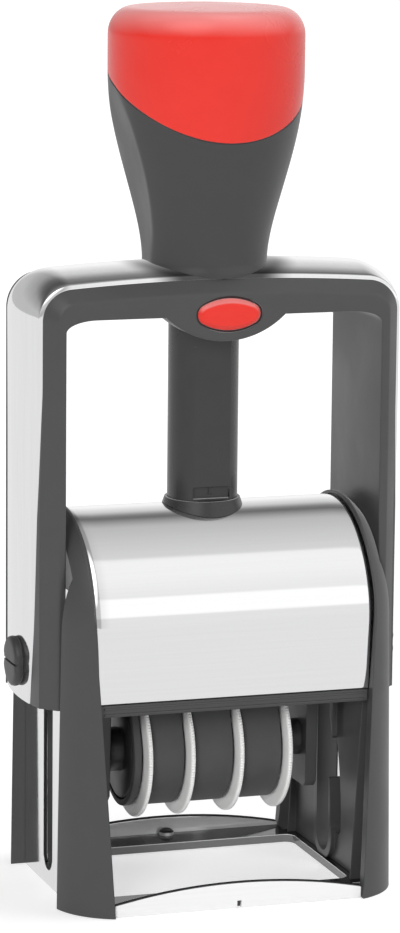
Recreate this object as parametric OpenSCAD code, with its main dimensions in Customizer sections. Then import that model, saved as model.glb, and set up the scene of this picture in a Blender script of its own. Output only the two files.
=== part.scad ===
// Rotary band stamp: a sprung bow turns a band carrier over from the ink pad to the paper.
// Millimetres, +Z up, front is -Y, origin at the middle of the base on the paper.

/* [Base] */
// Depth over the outside of the front and rear rails
base_depth = 49.6; // [48:0.2:52]
// Width over the outside of the two metal side plates
plate_span = 60.4; // [59.6:0.1:60.8]
// Thickness of the pressed metal sheet
sheet_t = 0.8; // [0.6:0.1:1]
// Thickness of the flat frame on the paper
ring_t = 1.6; // [1.2:0.1:2.2]
// Width of the window in the base
window_w = 49.8; // [48:0.2:51]
// Depth of the window in the base
window_d = 33; // [31:0.5:36]
// Thickness of the front and rear rails
rail_t = 1; // [0.8:0.1:1.4]
// Height of a rail at its ends
rail_end_h = 2.5; // [2:0.1:3.5]
// Height of a rail at its middle
rail_mid_h = 5.1; // [4:0.1:6]
// Height of the metal side plates
plate_h = 60; // [54:0.5:64]

/* [Side frames] */
// Width over the outside of the feet
foot_span = 66.8; // [65:0.2:69]
// Clear width between the left and right feet
foot_gap = 48.8; // [48.4:0.2:49.2]
// Depth over the outside of the feet
foot_depth = 53; // [52:0.2:56]
// Corner radius of the feet seen from above
foot_r = 13.6; // [12:0.2:14]
// Wall thickness of the hollow legs
leg_wall = 2; // [1.6:0.1:2.4]
// Free depth between front and rear legs for the bow
leg_gap = 32; // [31:0.1:32.4]
// Slope of the inner edges of the legs
inner_lean = 0.0545; // [0.05:0.0005:0.056]
// Slope of the legs towards the middle of the depth
leg_lean = 0.044; // [0.04:0.001:0.048]
// How far the arch stands proud of the pad cover
arch_proud = 0.7; // [0.5:0.1:1.2]
// Inner face of the end walls, out from the middle
wall_in = 26.2; // [25.9:0.1:26.6]

/* [Pad cover] */
// Outside radius of the pad cover
cover_r = 21; // [20.4:0.1:21.6]
// Height of the axis of the half-round part
cover_z = 51.8; // [51:0.1:53]
// Half length of the pad cover
cover_half = 28.2; // [27.8:0.1:28.5]
// Height of the front lower edge
cover_front_z = 39.5; // [38:0.5:42]
// Height of the rear lower edge
cover_rear_z = 45; // [44.5:0.5:47]
// Thickness of the black liner
liner_t = 1.2; // [1:0.1:1.5]
// Height of the ribbed lip under the cover
lip_h = 2.2; // [1.6:0.1:3]

/* [Pad and bridge] */
// Depth of the ink pad
pad_depth = 25.5; // [22:0.5:27]
// Gap between the type and the ink pad
pad_gap = 0.5; // [0.4:0.05:0.8]
// Wall thickness of the pad tray
tray_t = 1.2; // [1:0.1:1.6]
// Underside of the bridge
bridge_z = 60; // [59.5:0.1:61]
// Height of the bridge
bridge_h = 6.5; // [6:0.1:7]
// Depth of the bridge
bridge_depth = 18; // [16:0.5:19]

/* [Column] */
// Diameter of the guide column
column_d = 13.34; // [12.8:0.02:13.8]
// Width of the flat on the column
flat_w = 7.2; // [6:0.2:8]
// Top of the column
column_top = 116; // [112:0.5:118]
// Largest radius of the collar
collar_r = 8.4; // [8:0.1:8.6]
// Top of the collar
collar_top = 74; // [73.4:0.1:74.4]
// Bore radius of the column
column_bore_r = 4.7; // [4.4:0.1:5]

/* [Bow] */
// Gap between the bow legs and the side plates
bow_clear = 0.55; // [0.4:0.05:0.8]
// Depth of the bow
bow_depth = 27.4; // [26:0.2:28]
// Top of the bow at its middle
bow_top = 117.4; // [117:0.1:118.4]
// Underside of the crossbar
bar_z = 110.2; // [110:0.1:111]
// Lower end of the bow legs
leg_bottom = 37.3; // [37:0.1:38.4]
// Thickness of the bow legs
leg_t = 4.45; // [4.3:0.05:4.6]
// Outer corner radius of the bow
corner_r = 6.5; // [6:0.25:8]
// Radius of the slight curve along the top
top_r = 400; // [300:10:600]
// Width of the bright strip
band_w = 21.8; // [20:0.2:22.4]
// How far the middle of the strip bulges out
crown = 2; // [1.6:0.1:2.2]
// Width of the bevel beside the strip
bevel_n = 3; // [2.6:0.1:3.4]
// Radius of the lug below the crossbar
lug_r = 16.65; // [15.5:0.05:18]
// Lowest point of the lug
lug_z = 105.5; // [104.8:0.1:105.8]
// Length of the rounding in the upper corners of the opening
open_w = 6; // [4:0.5:8]
// Height of the rounding in the upper corners of the opening
open_h = 2.2; // [1.5:0.1:2.4]

/* [Handle] */
// Neck radius of the grip
neck_r = 11.75; // [11.5:0.05:12.2]
// Largest radius of the handle
knob_r = 18.4; // [17.5:0.1:19.5]
// Top of the handle
handle_top = 167; // [163:0.5:172]
// Corner radius at the top of the cap
cap_r = 4.5; // [3:0.25:6]
// Radius of the curved seam between grip and cap
seam_r = 80; // [70:1:95]
// How far the centre of the seam lies behind the axis
seam_back = 32.1; // [29:0.1:35]
// How far the centre of the seam lies below the top
seam_drop = 87.7; // [85:0.1:90]
// Height of the red cap's straight upper part
cap_h = 11.5; // [10:0.5:14]
// Bore radius inside the handle
grip_bore = 7.3; // [7.1:0.1:7.6]

/* [Carrier] */
// Height of the pivot with the bow up
pivot_z = 44.2; // [43.9:0.1:44.6]
// Downward travel of the bow
travel = 35; // [34.6:0.1:35.3]
// Air under the type at the end of the travel
print_gap = 0.3; // [0.2:0.05:0.5]
// Drop from the pivot to the wheel axle
wheel_drop = 18.4; // [17.8:0.1:18.8]
// Diameter over the knurled rims
wheel_d = 26.4; // [25.6:0.2:26.8]
// Thickness of a knurled rim
rim_t = 1.3; // [1.1:0.1:1.5]
// Number of teeth on a rim
rim_teeth = 60; // [40:4:72]
// Inner face of the cheeks, out from the middle
cheek_in = 19.6; // [19.4:0.1:19.9]
// Thickness of the cheeks
cheek_t = 2.2; // [1.8:0.1:2.5]
// Radius of the pivot pins
pin_r = 2.8; // [2.5:0.05:2.85]
// Radius of the outer pivot caps
pivot_cap_r = 4.75; // [4:0.05:5.5]
// Thickness of the rubber type bands
type_t = 1.2; // [1:0.1:1.4]

/* [Lock button] */
// Width of the oval button
button_w = 12.6; // [11.6:0.1:13]
// Height of the oval button
button_h = 6.4; // [5.8:0.1:6.6]
// Travel of the button
button_travel = 1.5; // [1:0.1:1.6]

/* [Fits] */
// Gap between pieces that are fixed to each other
fit = 0.03; // [0.02:0.01:0.06]
// Radial gap of a running fit
run = 0.06; // [0.04:0.01:0.09]
// Clear gap between pieces that pass each other
pass = 0.35; // [0.3:0.05:0.4]

/* [Hidden] */
$fn = 96;
eps = 0.2;
plate_out = plate_span / 2;
plate_in = plate_out - sheet_t;
wall_out = plate_in - fit;
ring_y = window_d / 2 + 3.5;
arch_r = cover_r + arch_proud;
cover_in = cover_r - sheet_t;
liner_r = cover_in - fit;
liner_in = liner_r - liner_t;
frame_top = cover_z + arch_r + 2;
rib_z = cover_z + 5.2;
rib_back = 0.4;
corner_c = [foot_span / 2 - foot_r, foot_depth / 2 - foot_r];
arch_c = corner_c[1] - leg_lean * cover_z;
slot_w = 2 * (pin_r + 0.3);
slot_low = pivot_z - travel - 3.1;
column_r = column_d / 2;
flat_y = sqrt(pow(column_r, 2) - pow(flat_w / 2, 2));
bow_in = plate_out + bow_clear;
bow_half = bow_in + leg_t;
bow_y = bow_depth / 2;
strip_y = band_w / 2;
crown_r = (pow(strip_y, 2) + pow(crown, 2)) / (2 * crown);
leg_share = 0.5;
cap_x = bow_half + 0.56 * crown;
corner_x = bow_half - corner_r;
top_z0 = bow_top - top_r;
corner_z = top_z0 + sqrt(pow(top_r - corner_r, 2) - pow(corner_x, 2));
corner_a = asin(corner_x / (top_r - corner_r));
bush_r = column_r + 1;
print_z = pivot_z + pivot_z - travel - print_gap;
pad_z = print_z + pad_gap;
tray_z = bridge_z - 1.4 * tray_t;
bridge_top = bridge_z + bridge_h;
spring_z0 = collar_top + 1;
rod_top = handle_top - cap_h + 0.5;
rod_z = rod_top - 29;
axle_z = pivot_z - wheel_drop;
axle_r = 1.5;
wheel_r = wheel_d / 2;
drum_r = wheel_r - 3.8;
belt_r = drum_r + pass + type_t;
nose_r = 3;
nose_z = print_z - nose_r;
cheek_out = cheek_in + cheek_t;
hub_r = 8;
follow_r = 6;
follow_pin_r = 1.5;
wheel_x = cheek_in * [-0.709, -0.281, 0.214, 0.709];
button_z = bar_z + 0.3;
button_y = -bow_y - 1.6;
pocket_y = -bow_y + 3.8;
screw_d = 10 / sqrt(2);

// Shared helpers

// Extrudes a (Y, Z) outline from x0 along +X
module along_x(x0, len) {
    translate([x0, 0, 0]) rotate([90, 0, 90]) linear_extrude(len) children();
}

// Extrudes an (X, Z) outline from y0 along +Y
module along_y(y0, len) {
    translate([0, y0 + len, 0]) rotate([90, 0, 0]) linear_extrude(len) children();
}

// Cylinder along X between two X values
module rod_x(r, x0, x1, y, z, n = 96) {
    translate([x0, y, z]) rotate([0, 90, 0]) cylinder(r = r, h = x1 - x0, $fn = n);
}

// Flat rectangle given by two corners
module rect(x0, y0, x1, y1) {
    translate([x0, y0]) square([x1 - x0, y1 - y0]);
}

// Box given by two corners
module box(a, b) {
    translate(a) cube(b - a);
}

// Rectangle with rounded corners, centred
module round_rect(hx, hy, r) {
    square([2 * (hx - r), 2 * hy], center = true);
    square([2 * hx, 2 * (hy - r)], center = true);
    for (sx = [-1, 1]) {
        for (sy = [-1, 1]) {
            translate([sx * (hx - r), sy * (hy - r)]) circle(r);
        }
    }
}

// Upright slot with round ends between two centre heights
module slot_2d(hw, z0, z1) {
    rect(-hw, z0, hw, z1);
    translate([0, z0]) circle(hw);
    translate([0, z1]) circle(hw);
}

// Oval of four tangent arcs with half sizes a and b
module oval_2d(a, b) {
    r1 = 0.66 * b;
    c = a - r1;
    r2 = (c * c + b * b - r1 * r1) / (2 * (b - r1));
    xt = c * r2 / (r2 - r1);
    intersection() {
        translate([0, b - r2]) circle(r2);
        translate([0, r2 - b]) circle(r2);
        square([2 * xt, 4 * b], center = true);
    }
    for (s = [-1, 1]) {
        translate([s * c, 0]) circle(r1);
    }
}

// Wound wire along +Z: 8 rings a curl, 6 sides
function coil_mid(i, n, turns, r, h) = [r * cos(360 * turns * i / n), r * sin(360 * turns * i / n), h * i / n];
function coil_ring(i, n, turns, r, h, w) = let(
    a = 360 * turns * i / n,
    er = [cos(a), sin(a), 0],
    t0 = [-sin(a) * r * 2 * PI * turns, cos(a) * r * 2 * PI * turns, h],
    t = t0 / norm(t0),
    eb = cross(t, er))
    [for (k = [0:5]) coil_mid(i, n, turns, r, h) + w * (cos(60 * k) * er + sin(60 * k) * eb)];
function coil_gap(n, turns, r, h, w) = min([for (i = [0:n - 6]) for (j = [i + 6:n])
    norm(coil_mid(i, n, turns, r, h) - coil_mid(j, n, turns, r, h))]) - 2 * w;

module coil(turns, r, h, w) {
    n = 8 * turns;
    pts = [for (i = [0:n]) each coil_ring(i, n, turns, r, h, w)];
    sides = [for (i = [0:n - 1]) for (k = [0:5])
        each [[6 * i + k, 6 * i + (k + 1) % 6, 6 * i + 6 + (k + 1) % 6],
            [6 * i + k, 6 * i + 6 + (k + 1) % 6, 6 * i + 6 + k]]];
    ends = [[5, 4, 3, 2, 1, 0], [for (k = [0:5]) 6 * n + k]];
    echo("least gap of the coil to itself", coil_gap(n, turns, r, h, w));
    polyhedron(points = pts, faces = concat([for (f = sides) [f[2], f[1], f[0]]],
        [for (f = ends) [for (k = [5:-1:0]) f[k]]]));
}

// Base

module rail_2d(hw) {
    sag = rail_mid_h - rail_end_h;
    r = (hw * hw + sag * sag) / (2 * sag);
    difference() {
        intersection() {
            rect(-hw, 0, hw, rail_mid_h + 1);
            translate([0, rail_mid_h - r]) circle(r, $fn = 180);
        }
        rect(-0.4, -1, 0.4, 1.4);
    }
}

module base_ring() {
    hw = foot_gap / 2 - 0.15;
    color([0.8, 0.8, 0.82]) {
        difference() {
            union() {
                box([-wall_out, -ring_y, 0], [wall_out, ring_y, ring_t]);
                box([-hw, -base_depth / 2, 0], [hw, base_depth / 2, ring_t]);
                along_y(-base_depth / 2, rail_t) rail_2d(hw);
                along_y(base_depth / 2 - rail_t, rail_t) rail_2d(hw);
            }
            translate([0, 0, -1]) linear_extrude(ring_t + 2) round_rect(window_w / 2, window_d / 2, 2);
            for (s = [-1, 1]) {
                box([-0.4, s * base_depth / 2 - rail_t - 0.1, -1], [0.4, s * base_depth / 2 + rail_t + 0.1, 1.4]);
            }
        }
    }
}

module side_plate() {
    along_x(plate_in, sheet_t) difference() {
        rect(-leg_gap / 2 + 0.1, 0, leg_gap / 2 - 0.1, plate_h);
        slot_2d(slot_w / 2, slot_low, pivot_z + 1);
    }
}

module side_plate_left() {
    color([0.85, 0.85, 0.87]) mirror([1, 0, 0]) side_plate();
}

module side_plate_right() {
    color([0.85, 0.85, 0.87]) side_plate();
}

// Arch with two legs that touch it as tangents, in (Y, Z)
module arch_2d(r, foot) {
    d = norm([foot, cover_z]);
    a = atan2(cover_z, foot) + asin(r / d);
    len = sqrt(d * d - r * r);
    ty = foot - len * cos(a);
    tz = len * sin(a);
    translate([0, cover_z]) circle(r);
    polygon([[-foot, 0], [foot, 0], [ty, tz], [-ty, tz]]);
}

// Space under the outside of the pad cover, grown by g
module cover_space_2d(g) {
    r = cover_r + g;
    translate([0, cover_z]) intersection() {
        circle(r);
        rect(-r, 0, r, r);
    }
    rect(-r, cover_front_z - g, 0, cover_z);
    rect(-eps, cover_rear_z - g, r, cover_z);
}

// Path of the follower pin in the end wall, in (Y, Z)
function cam_pt(a) = [follow_r * cos(a), pivot_z - travel * a / 180 + follow_r * sin(a)];
function cam_dir(a) = let(d = [-follow_r * sin(a), -travel / PI + follow_r * cos(a)]) d / norm(d);
function cam_side(a, w) = cam_pt(a) + w * [-cam_dir(a)[1], cam_dir(a)[0]];

module cam_2d(w) {
    polygon(concat([for (a = [0:10:180]) cam_side(a, w)], [for (a = [180:-10:0]) cam_side(a, -w)]));
    translate(cam_pt(0)) circle(w);
    translate(cam_pt(180)) circle(w);
}

// Space inside the rounded outside of the legs and the arch, moved in by g
module shoulder_space(g) {
    r = foot_r - g;
    intersection() {
        union() {
            box([0, -corner_c[1], -1], [plate_out + 1, corner_c[1], cover_z]);
            for (s = [-1, 1]) {
                translate([corner_c[0], s * corner_c[1], 0]) rotate([s * atan(leg_lean), 0, 0])
                    translate([0, 0, -5]) cylinder(r = r, h = cover_z + 15);
            }
        }
        box([0, -40, 0], [50, 40, cover_z]);
    }
    intersection() {
        translate([0, 0, cover_z]) rotate([0, 90, 0]) rotate_extrude() intersection() {
            union() {
                rect(0, 0, arch_c, plate_out + 1);
                translate([arch_c, corner_c[0]]) circle(r);
            }
            rect(0, 0, 40, 50);
        }
        box([0, -40, cover_z], [50, 40, frame_top]);
    }
}

module leg_hollow() {
    intersection() {
        shoulder_space(leg_wall);
        along_x(10, 40) intersection() {
            arch_2d(arch_r - leg_wall, foot_depth / 2 - leg_wall);
            union() {
                rect(-40, -1, -leg_gap / 2 - leg_wall, frame_top);
                rect(leg_gap / 2 + leg_wall, -1, 40, frame_top);
            }
        }
        box([10, -40, -1], [plate_out - 0.8, 40, frame_top]);
    }
}

module side_frame() {
    ch = leg_gap / 2;
    difference() {
        union() {
            difference() {
                intersection() {
                    shoulder_space(0);
                    along_x(10, 40) arch_2d(arch_r, foot_depth / 2);
                    along_y(-40, 80) polygon([[foot_gap / 2, 0], [50, 0], [50, frame_top],
                        [foot_gap / 2 + inner_lean * rib_z - rib_back, frame_top],
                        [foot_gap / 2 + inner_lean * rib_z, rib_z]]);
                }
                leg_hollow();
                box([10, -ch - leg_wall + eps, -1], [wall_in, ch + leg_wall - eps, cover_z]);
                along_x(10, cover_half + fit - 10) cover_space_2d(fit);
                box([wall_out, -ch, -1], [50, ch, plate_h + 0.1]);
                box([plate_out, -ch, -1], [50, ch, frame_top + 5]);
            }
            along_x(wall_in, cover_half - wall_in + 1) intersection() {
                union() {
                    translate([0, cover_z]) circle(liner_r - 0.1);
                    rect(-40, 0, 40, cover_z);
                }
                rect(-ch, cover_front_z - 1, ch, frame_top);
            }
            along_x(wall_in - 0.9, 1.1) slot_2d(slot_w / 2 + 1.8, slot_low, pivot_z + 1);
        }
        along_x(10, 40) slot_2d(slot_w / 2 + 0.2, slot_low, pivot_z + 1);
        along_x(10, wall_in + 1.7 - 10) cam_2d(follow_pin_r + pass);
        box([10, -ring_y - fit, -1], [wall_out + fit, ring_y + fit, ring_t + fit]);
    }
}

module left_side_frame() {
    color([0.2, 0.2, 0.21]) mirror([1, 0, 0]) side_frame();
}

module right_side_frame() {
    color([0.2, 0.2, 0.21]) side_frame();
}

module shell_2d(ro, ri, front_z, rear_z) {
    translate([0, cover_z]) intersection() {
        difference() {
            circle(ro);
            circle(ri);
        }
        rect(-ro - 1, 0, ro + 1, ro + 1);
    }
    rect(-ro, front_z, -ri, cover_z);
    rect(ri, rear_z, ro, cover_z);
}

module pad_cover() {
    color([0.86, 0.86, 0.88]) difference() {
        along_x(-cover_half, 2 * cover_half) shell_2d(cover_r, cover_in, cover_front_z, cover_rear_z);
        translate([0, 0, cover_z]) cylinder(r = column_r + 0.25, h = 40);
    }
}

module cover_liner() {
    half = wall_in - 0.1;
    lip_half = foot_gap / 2 + inner_lean * (cover_front_z - lip_h) - 0.2;
    color([0.12, 0.12, 0.13]) difference() {
        union() {
            along_x(-half, 2 * half) shell_2d(liner_r, liner_in, cover_front_z - lip_h, cover_rear_z);
            box([-lip_half, -cover_r - 0.2, cover_front_z - lip_h], [lip_half, -liner_in, cover_front_z - fit]);
        }
        translate([0, 0, cover_z]) cylinder(r = column_r + 0.35, h = 40);
    }
}

module pad_tray() {
    half = wall_in - 0.6;
    color([0.3, 0.3, 0.31]) difference() {
        box([-half, -pad_depth / 2 - tray_t, pad_z + tray_t], [half, pad_depth / 2 + tray_t, bridge_z - fit]);
        box([-half + tray_t, -pad_depth / 2 - fit, pad_z], [half - tray_t, pad_depth / 2 + fit, tray_z]);
    }
}

module ink_pad() {
    half = wall_in - 0.6 - tray_t - fit;
    color([0.1, 0.1, 0.16]) box([-half, -pad_depth / 2, pad_z], [half, pad_depth / 2, tray_z - fit]);
}

module housing_bridge() {
    half = wall_in - fit;
    color([0.25, 0.25, 0.26]) difference() {
        box([-half, -bridge_depth / 2, bridge_z], [half, bridge_depth / 2, bridge_top]);
        translate([0, 0, bridge_z - 1]) cylinder(r = 4.6, h = 4);
        translate([0, 0, bridge_z - 1]) cylinder(r = 2.2, h = 20);
    }
}

module guide_column() {
    color([0.22, 0.22, 0.23]) difference() {
        union() {
            translate([0, 0, bridge_top + fit]) cylinder(r = column_r, h = column_top - bridge_top - fit);
            translate([0, 0, bridge_top + fit]) cylinder(r = 8.8, h = 1.2);
        }
        for (s = [-1, 1]) {
            box([-10, s < 0 ? -20 : flat_y, collar_top - 1], [10, s < 0 ? -flat_y : 20, column_top + 1]);
        }
        box([-flat_w / 2, -20, collar_top + 0.4], [flat_w / 2, -flat_y + 0.9, collar_top + 2.6]);
        translate([0, 0, spring_z0]) cylinder(r = column_bore_r, h = 60);
        translate([0, 0, bridge_z]) cylinder(r = 1.6, h = 12);
    }
}

module column_collar() {
    low = cover_z + sqrt(pow(cover_r, 2) - pow(collar_r, 2)) - 0.5;
    color([0.2, 0.2, 0.21]) difference() {
        translate([0, 0, low]) cylinder(r1 = collar_r, r2 = column_r + 0.5, h = collar_top - low);
        translate([0, 0, low - 1]) cylinder(r = column_r + fit, h = 20);
        rod_x(cover_r + fit, -20, 20, 0, cover_z);
    }
}

module column_screw() {
    color([0.7, 0.7, 0.72]) difference() {
        union() {
            translate([0, 0, bridge_z + 0.2]) cylinder(r = 4.2, h = 2.8 - fit);
            translate([0, 0, bridge_z + 1]) cylinder(r = 1.6 - fit, h = 10.5);
        }
        box([-0.5, -5, bridge_z - 1], [0.5, 5, bridge_z + 1.2]);
    }
}

module return_spring() {
    color([0.75, 0.75, 0.77]) translate([0, 0, spring_z0 + 0.7]) coil(10, 3.5, rod_z - spring_z0 - 1.4, 0.6);
}

// Bow

// Outline of the bow, moved in by o and bulged out by c
module bow_outline_2d(o, n = 96, c = 0) {
    k = top_r + 20;
    top = bow_half - o + c;
    low = bow_half - o + leg_share * c;
    polygon([[-low, leg_bottom], [low, leg_bottom], [top, corner_z], [-top, corner_z]]);
    for (s = [-1, 1]) {
        translate([s * corner_x, corner_z]) circle(corner_r - o + c, $fn = n);
    }
    intersection() {
        translate([0, top_z0]) circle(top_r - o + c, $fn = 360);
        polygon([[-corner_x, corner_z - 9], [corner_x, corner_z - 9], [corner_x, corner_z],
            [k * sin(corner_a), top_z0 + k * cos(corner_a)], [-k * sin(corner_a), top_z0 + k * cos(corner_a)],
            [-corner_x, corner_z]]);
    }
}

// Space inside the bulged outside of the bow, moved in by o
module bow_skin(o) {
    hull() {
        for (k = [-3:3]) {
            along_y(strip_y * k / 3 - 0.02, 0.04) bow_outline_2d(o, 64, crown * (1 - k * k / 9));
        }
    }
}

// Part in front of the strip, whose front edge runs back down the legs, in (Y, Z)
module strip_front_2d(g) {
    top = corner_z - 12.5;
    h = top - leg_bottom;
    polygon([[-2 * strip_y, leg_bottom - 1], [-0.61 * strip_y - g, leg_bottom - 1], [-0.655 * strip_y - g, leg_bottom + 0.05 * h],
        [-0.8 * strip_y - g, leg_bottom + 0.26 * h], [-0.92 * strip_y - g, leg_bottom + 0.64 * h],
        [-strip_y - g, top], [-2 * strip_y, top]]);
}

module bow_opening_2d() {
    side = [for (a = [0:15:90]) [bow_in - open_w * (1 - cos(a)), bar_z - open_h * (1 - sin(a))]];
    polygon(concat([[-bow_in, leg_bottom - 1], [bow_in, leg_bottom - 1]], side,
        [for (i = [6:-1:0]) [-side[i][0], side[i][1]]]));
}

module bow_frame() {
    lip = strip_y + 0.35;
    color([0.24, 0.24, 0.25]) difference() {
        union() {
            difference() {
                union() {
                    along_y(-lip, 2 * lip) bow_outline_2d(0.5);
                    bow_skin(0.1);
                    for (s = [0, 1]) {
                        mirror([0, s, 0]) hull() {
                            along_y(-lip, 0.2) bow_outline_2d(0.5, 64);
                            along_y(-bow_y, 0.05) bow_outline_2d(bevel_n, 64);
                        }
                    }
                }
                along_y(-bow_y - 1, bow_depth + 2) bow_opening_2d();
            }
            along_y(-bow_y, 5.6) intersection() {
                translate([0, lug_z + lug_r]) circle(lug_r);
                rect(-lug_r, lug_z - 1, lug_r, bar_z + 1);
            }
        }
        difference() {
            along_y(-strip_y - fit, 2 * (strip_y + fit)) rect(-50, leg_bottom - 1, 50, bow_top + 10);
            bow_skin(sheet_t + fit);
            along_y(-strip_y - 1, 2 * strip_y + 2) bow_outline_2d(sheet_t + fit);
            along_x(-50, 100) strip_front_2d(fit);
        }
        rod_x(cover_r + 0.5, -lug_r, lug_r, 0, cover_z + travel);
        translate([0, 0, leg_bottom]) cylinder(r = collar_r + 0.5, h = bar_z - leg_bottom + 0.3);
        translate([0, 0, leg_bottom]) cylinder(r = bush_r + fit, h = 100);
        rod_x(pin_r + fit, -50, 50, 0, pivot_z);
        along_y(-bow_y - 1, 1.8) translate([0, button_z]) oval_2d(button_w / 2 + 0.2, button_h / 2 + 0.2);
        along_y(-bow_y + 0.7, pocket_y + bow_y - 0.7) translate([0, button_z])
            oval_2d(button_w / 2 + 0.8, button_h / 2 + 0.8);
        for (s = [-1, 1]) {
            translate([s * screw_d, s * screw_d, leg_bottom]) cylinder(r = 1.05, h = 100);
            translate([s * screw_d, s * screw_d, leg_bottom]) cylinder(r = 1.9, h = bar_z + 2 - leg_bottom);
        }
    }
}

module bow_band() {
    color([0.86, 0.86, 0.88]) difference() {
        bow_skin(0);
        bow_skin(sheet_t);
        along_y(-strip_y - 1, 2 * strip_y + 2) bow_outline_2d(sheet_t);
        along_x(-50, 100) strip_front_2d(0);
        rod_x(pin_r + fit, -50, 50, 0, pivot_z);
        translate([0, 0, bar_z]) cylinder(r = bush_r + fit, h = 20);
        for (s = [-1, 1]) {
            translate([s * screw_d, s * screw_d, bar_z]) cylinder(r = 1.05, h = 20);
        }
    }
}

module guide_bush() {
    color([0.75, 0.68, 0.45]) difference() {
        translate([0, 0, bar_z + 0.3 + fit]) cylinder(r = bush_r, h = bow_top - bar_z - 0.5);
        translate([0, 0, bar_z]) cylinder(r = column_r + run, h = 20);
    }
}

// Outline of the whole handle, from the axis outwards
function bez(a, b, c, d, t) = pow(1 - t, 3) * a + 3 * pow(1 - t, 2) * t * b + 3 * (1 - t) * t * t * c + pow(t, 3) * d;
knob_z = handle_top - cap_h;
neck_z = bow_top + 1.7;

// Side flats of the grip: share of the height, share of the swell
flat_line = [[0.042, -0.048], [0.178, -0.026], [0.299, 0.08], [0.436, 0.254], [0.58, 0.472], [0.719, 0.693],
    [0.832, 0.875], [0.93, 0.995]];
flat_pts = [for (p = flat_line) [neck_r + p[1] * (knob_r - neck_r), bow_top + p[0] * (knob_z - bow_top)]];

module handle_2d() {
    side = [for (i = [0:20]) bez([neck_r, neck_z], [neck_r, neck_z + 9], [knob_r, knob_z - 17], [knob_r, knob_z], i / 20)];
    polygon(concat([[0, bow_top - 2], [neck_r + 0.35, bow_top - 2], [neck_r + 0.35, bow_top + 0.3]], side, [[0, knob_z]]));
    intersection() {
        union() {
            rect(0, knob_z - eps, knob_r, handle_top - cap_r);
            rect(0, knob_z - eps, knob_r - cap_r, handle_top);
            translate([knob_r - cap_r, handle_top - cap_r]) circle(cap_r);
        }
        translate([0, handle_top - 150]) circle(150, $fn = 360);
        rect(0, 0, 100, handle_top + 10);
    }
}

module handle_solid() {
    difference() {
        rotate_extrude() handle_2d();
        for (s = [0, 1]) {
            mirror([s, 0, 0]) along_y(-30, 60) polygon(concat([[flat_pts[0][0], bow_top - 3]], flat_pts,
                [[3 * knob_r, flat_pts[7][1]], [3 * knob_r, bow_top - 3]]));
        }
        translate([0, 0, bow_top - 10]) cylinder(r = grip_bore, h = rod_top - bow_top + 10);
        rod_x(crown_r + fit, -40, 40, 0, bow_top + crown - crown_r);
    }
}

module handle_grip() {
    color([0.27, 0.27, 0.28]) difference() {
        intersection() {
            handle_solid();
            rod_x(seam_r - fit, -40, 40, seam_back, handle_top - seam_drop);
        }
        for (s = [-1, 1]) {
            translate([s * screw_d, s * screw_d, bar_z]) cylinder(r = 1.05, h = 17);
        }
    }
}

module handle_cap() {
    color([0.86, 0.16, 0.12]) difference() {
        handle_solid();
        rod_x(seam_r, -40, 40, seam_back, handle_top - seam_drop);
    }
}

module push_rod() {
    color([0.7, 0.7, 0.72]) {
        translate([0, 0, rod_z]) cylinder(r = column_bore_r - pass, h = rod_top - rod_z - fit);
        translate([0, 0, rod_top - 3]) cylinder(r = grip_bore - fit, h = 3 - fit);
    }
}

module handle_screws() {
    color([0.7, 0.7, 0.72]) {
        for (s = [-1, 1]) {
            translate([s * screw_d, s * screw_d, bar_z + 0.3]) cylinder(r = 1.85, h = 1.7 - fit);
            translate([s * screw_d, s * screw_d, bar_z + 1]) cylinder(r = 1.05 - fit, h = 15.5);
        }
    }
}

module pivot_pins() {
    color([0.7, 0.7, 0.72]) {
        rod_x(pin_r, cheek_in + 0.6, cap_x + 0.8, 0, pivot_z);
        rod_x(pin_r, -cap_x - 0.8, -cheek_in - 0.6, 0, pivot_z);
    }
}

module pivot_caps() {
    color([0.12, 0.12, 0.12]) {
        for (s = [0, 1]) {
            mirror([s, 0, 0]) difference() {
                rod_x(pivot_cap_r, cap_x + fit, cap_x + 1.6, 0, pivot_z);
                rod_x(pin_r + fit, cap_x - 1, cap_x + 0.8 + fit, 0, pivot_z);
                box([cap_x + 1.2, -2, pivot_z - 0.4], [cap_x + 3, 2, pivot_z + 0.4]);
            }
        }
    }
}

module lock_button() {
    color([0.86, 0.16, 0.12]) difference() {
        union() {
            intersection() {
                along_y(button_y, 2.7) translate([0, button_z]) oval_2d(button_w / 2, button_h / 2);
                rod_x(24, -20, 20, button_y + 24, button_z, 360);
            }
            along_y(-bow_y + 1, 0.8) translate([0, button_z]) oval_2d(button_w / 2 + 0.45, button_h / 2 + 0.45);
        }
        translate([0, -bow_y + 2, button_z]) rotate([90, 0, 0]) cylinder(r = 2, h = 1.8);
    }
}

module button_spring() {
    len = pocket_y - (-bow_y + 0.2) - 0.5;
    color([0.75, 0.75, 0.77]) translate([0, pocket_y - 0.25, button_z]) rotate([90, 0, 0]) coil(3, 1.4, len, 0.2);
}

// Carrier

module cheek() {
    difference() {
        union() {
            along_x(cheek_in, cheek_t) {
                translate([0, pivot_z]) circle(hub_r);
                polygon([[-4.5, axle_z - 8.8], [4.5, axle_z - 8.8], [5.5, axle_z - 7.8], [6.5, pivot_z],
                    [-6.5, pivot_z], [-5.5, axle_z - 7.8]]);
            }
            rod_x(pin_r + run + 1.4, cheek_out - eps, wall_in - 1.2, 0, pivot_z);
        }
        rod_x(pin_r + run, 0, 40, 0, pivot_z);
        rod_x(axle_r + fit, 0, 40, 0, axle_z);
        rod_x(follow_pin_r + fit, 0, 40, follow_r, pivot_z);
    }
}

module carrier_cheek_left() {
    color([0.3, 0.3, 0.31]) mirror([1, 0, 0]) cheek();
}

module carrier_cheek_right() {
    color([0.3, 0.3, 0.31]) cheek();
}

module follower_pins() {
    color([0.7, 0.7, 0.72]) {
        rod_x(follow_pin_r, cheek_in, wall_in + 1.4, follow_r, pivot_z);
        rod_x(follow_pin_r, -wall_in - 1.4, -cheek_in, follow_r, pivot_z);
    }
}

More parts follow.
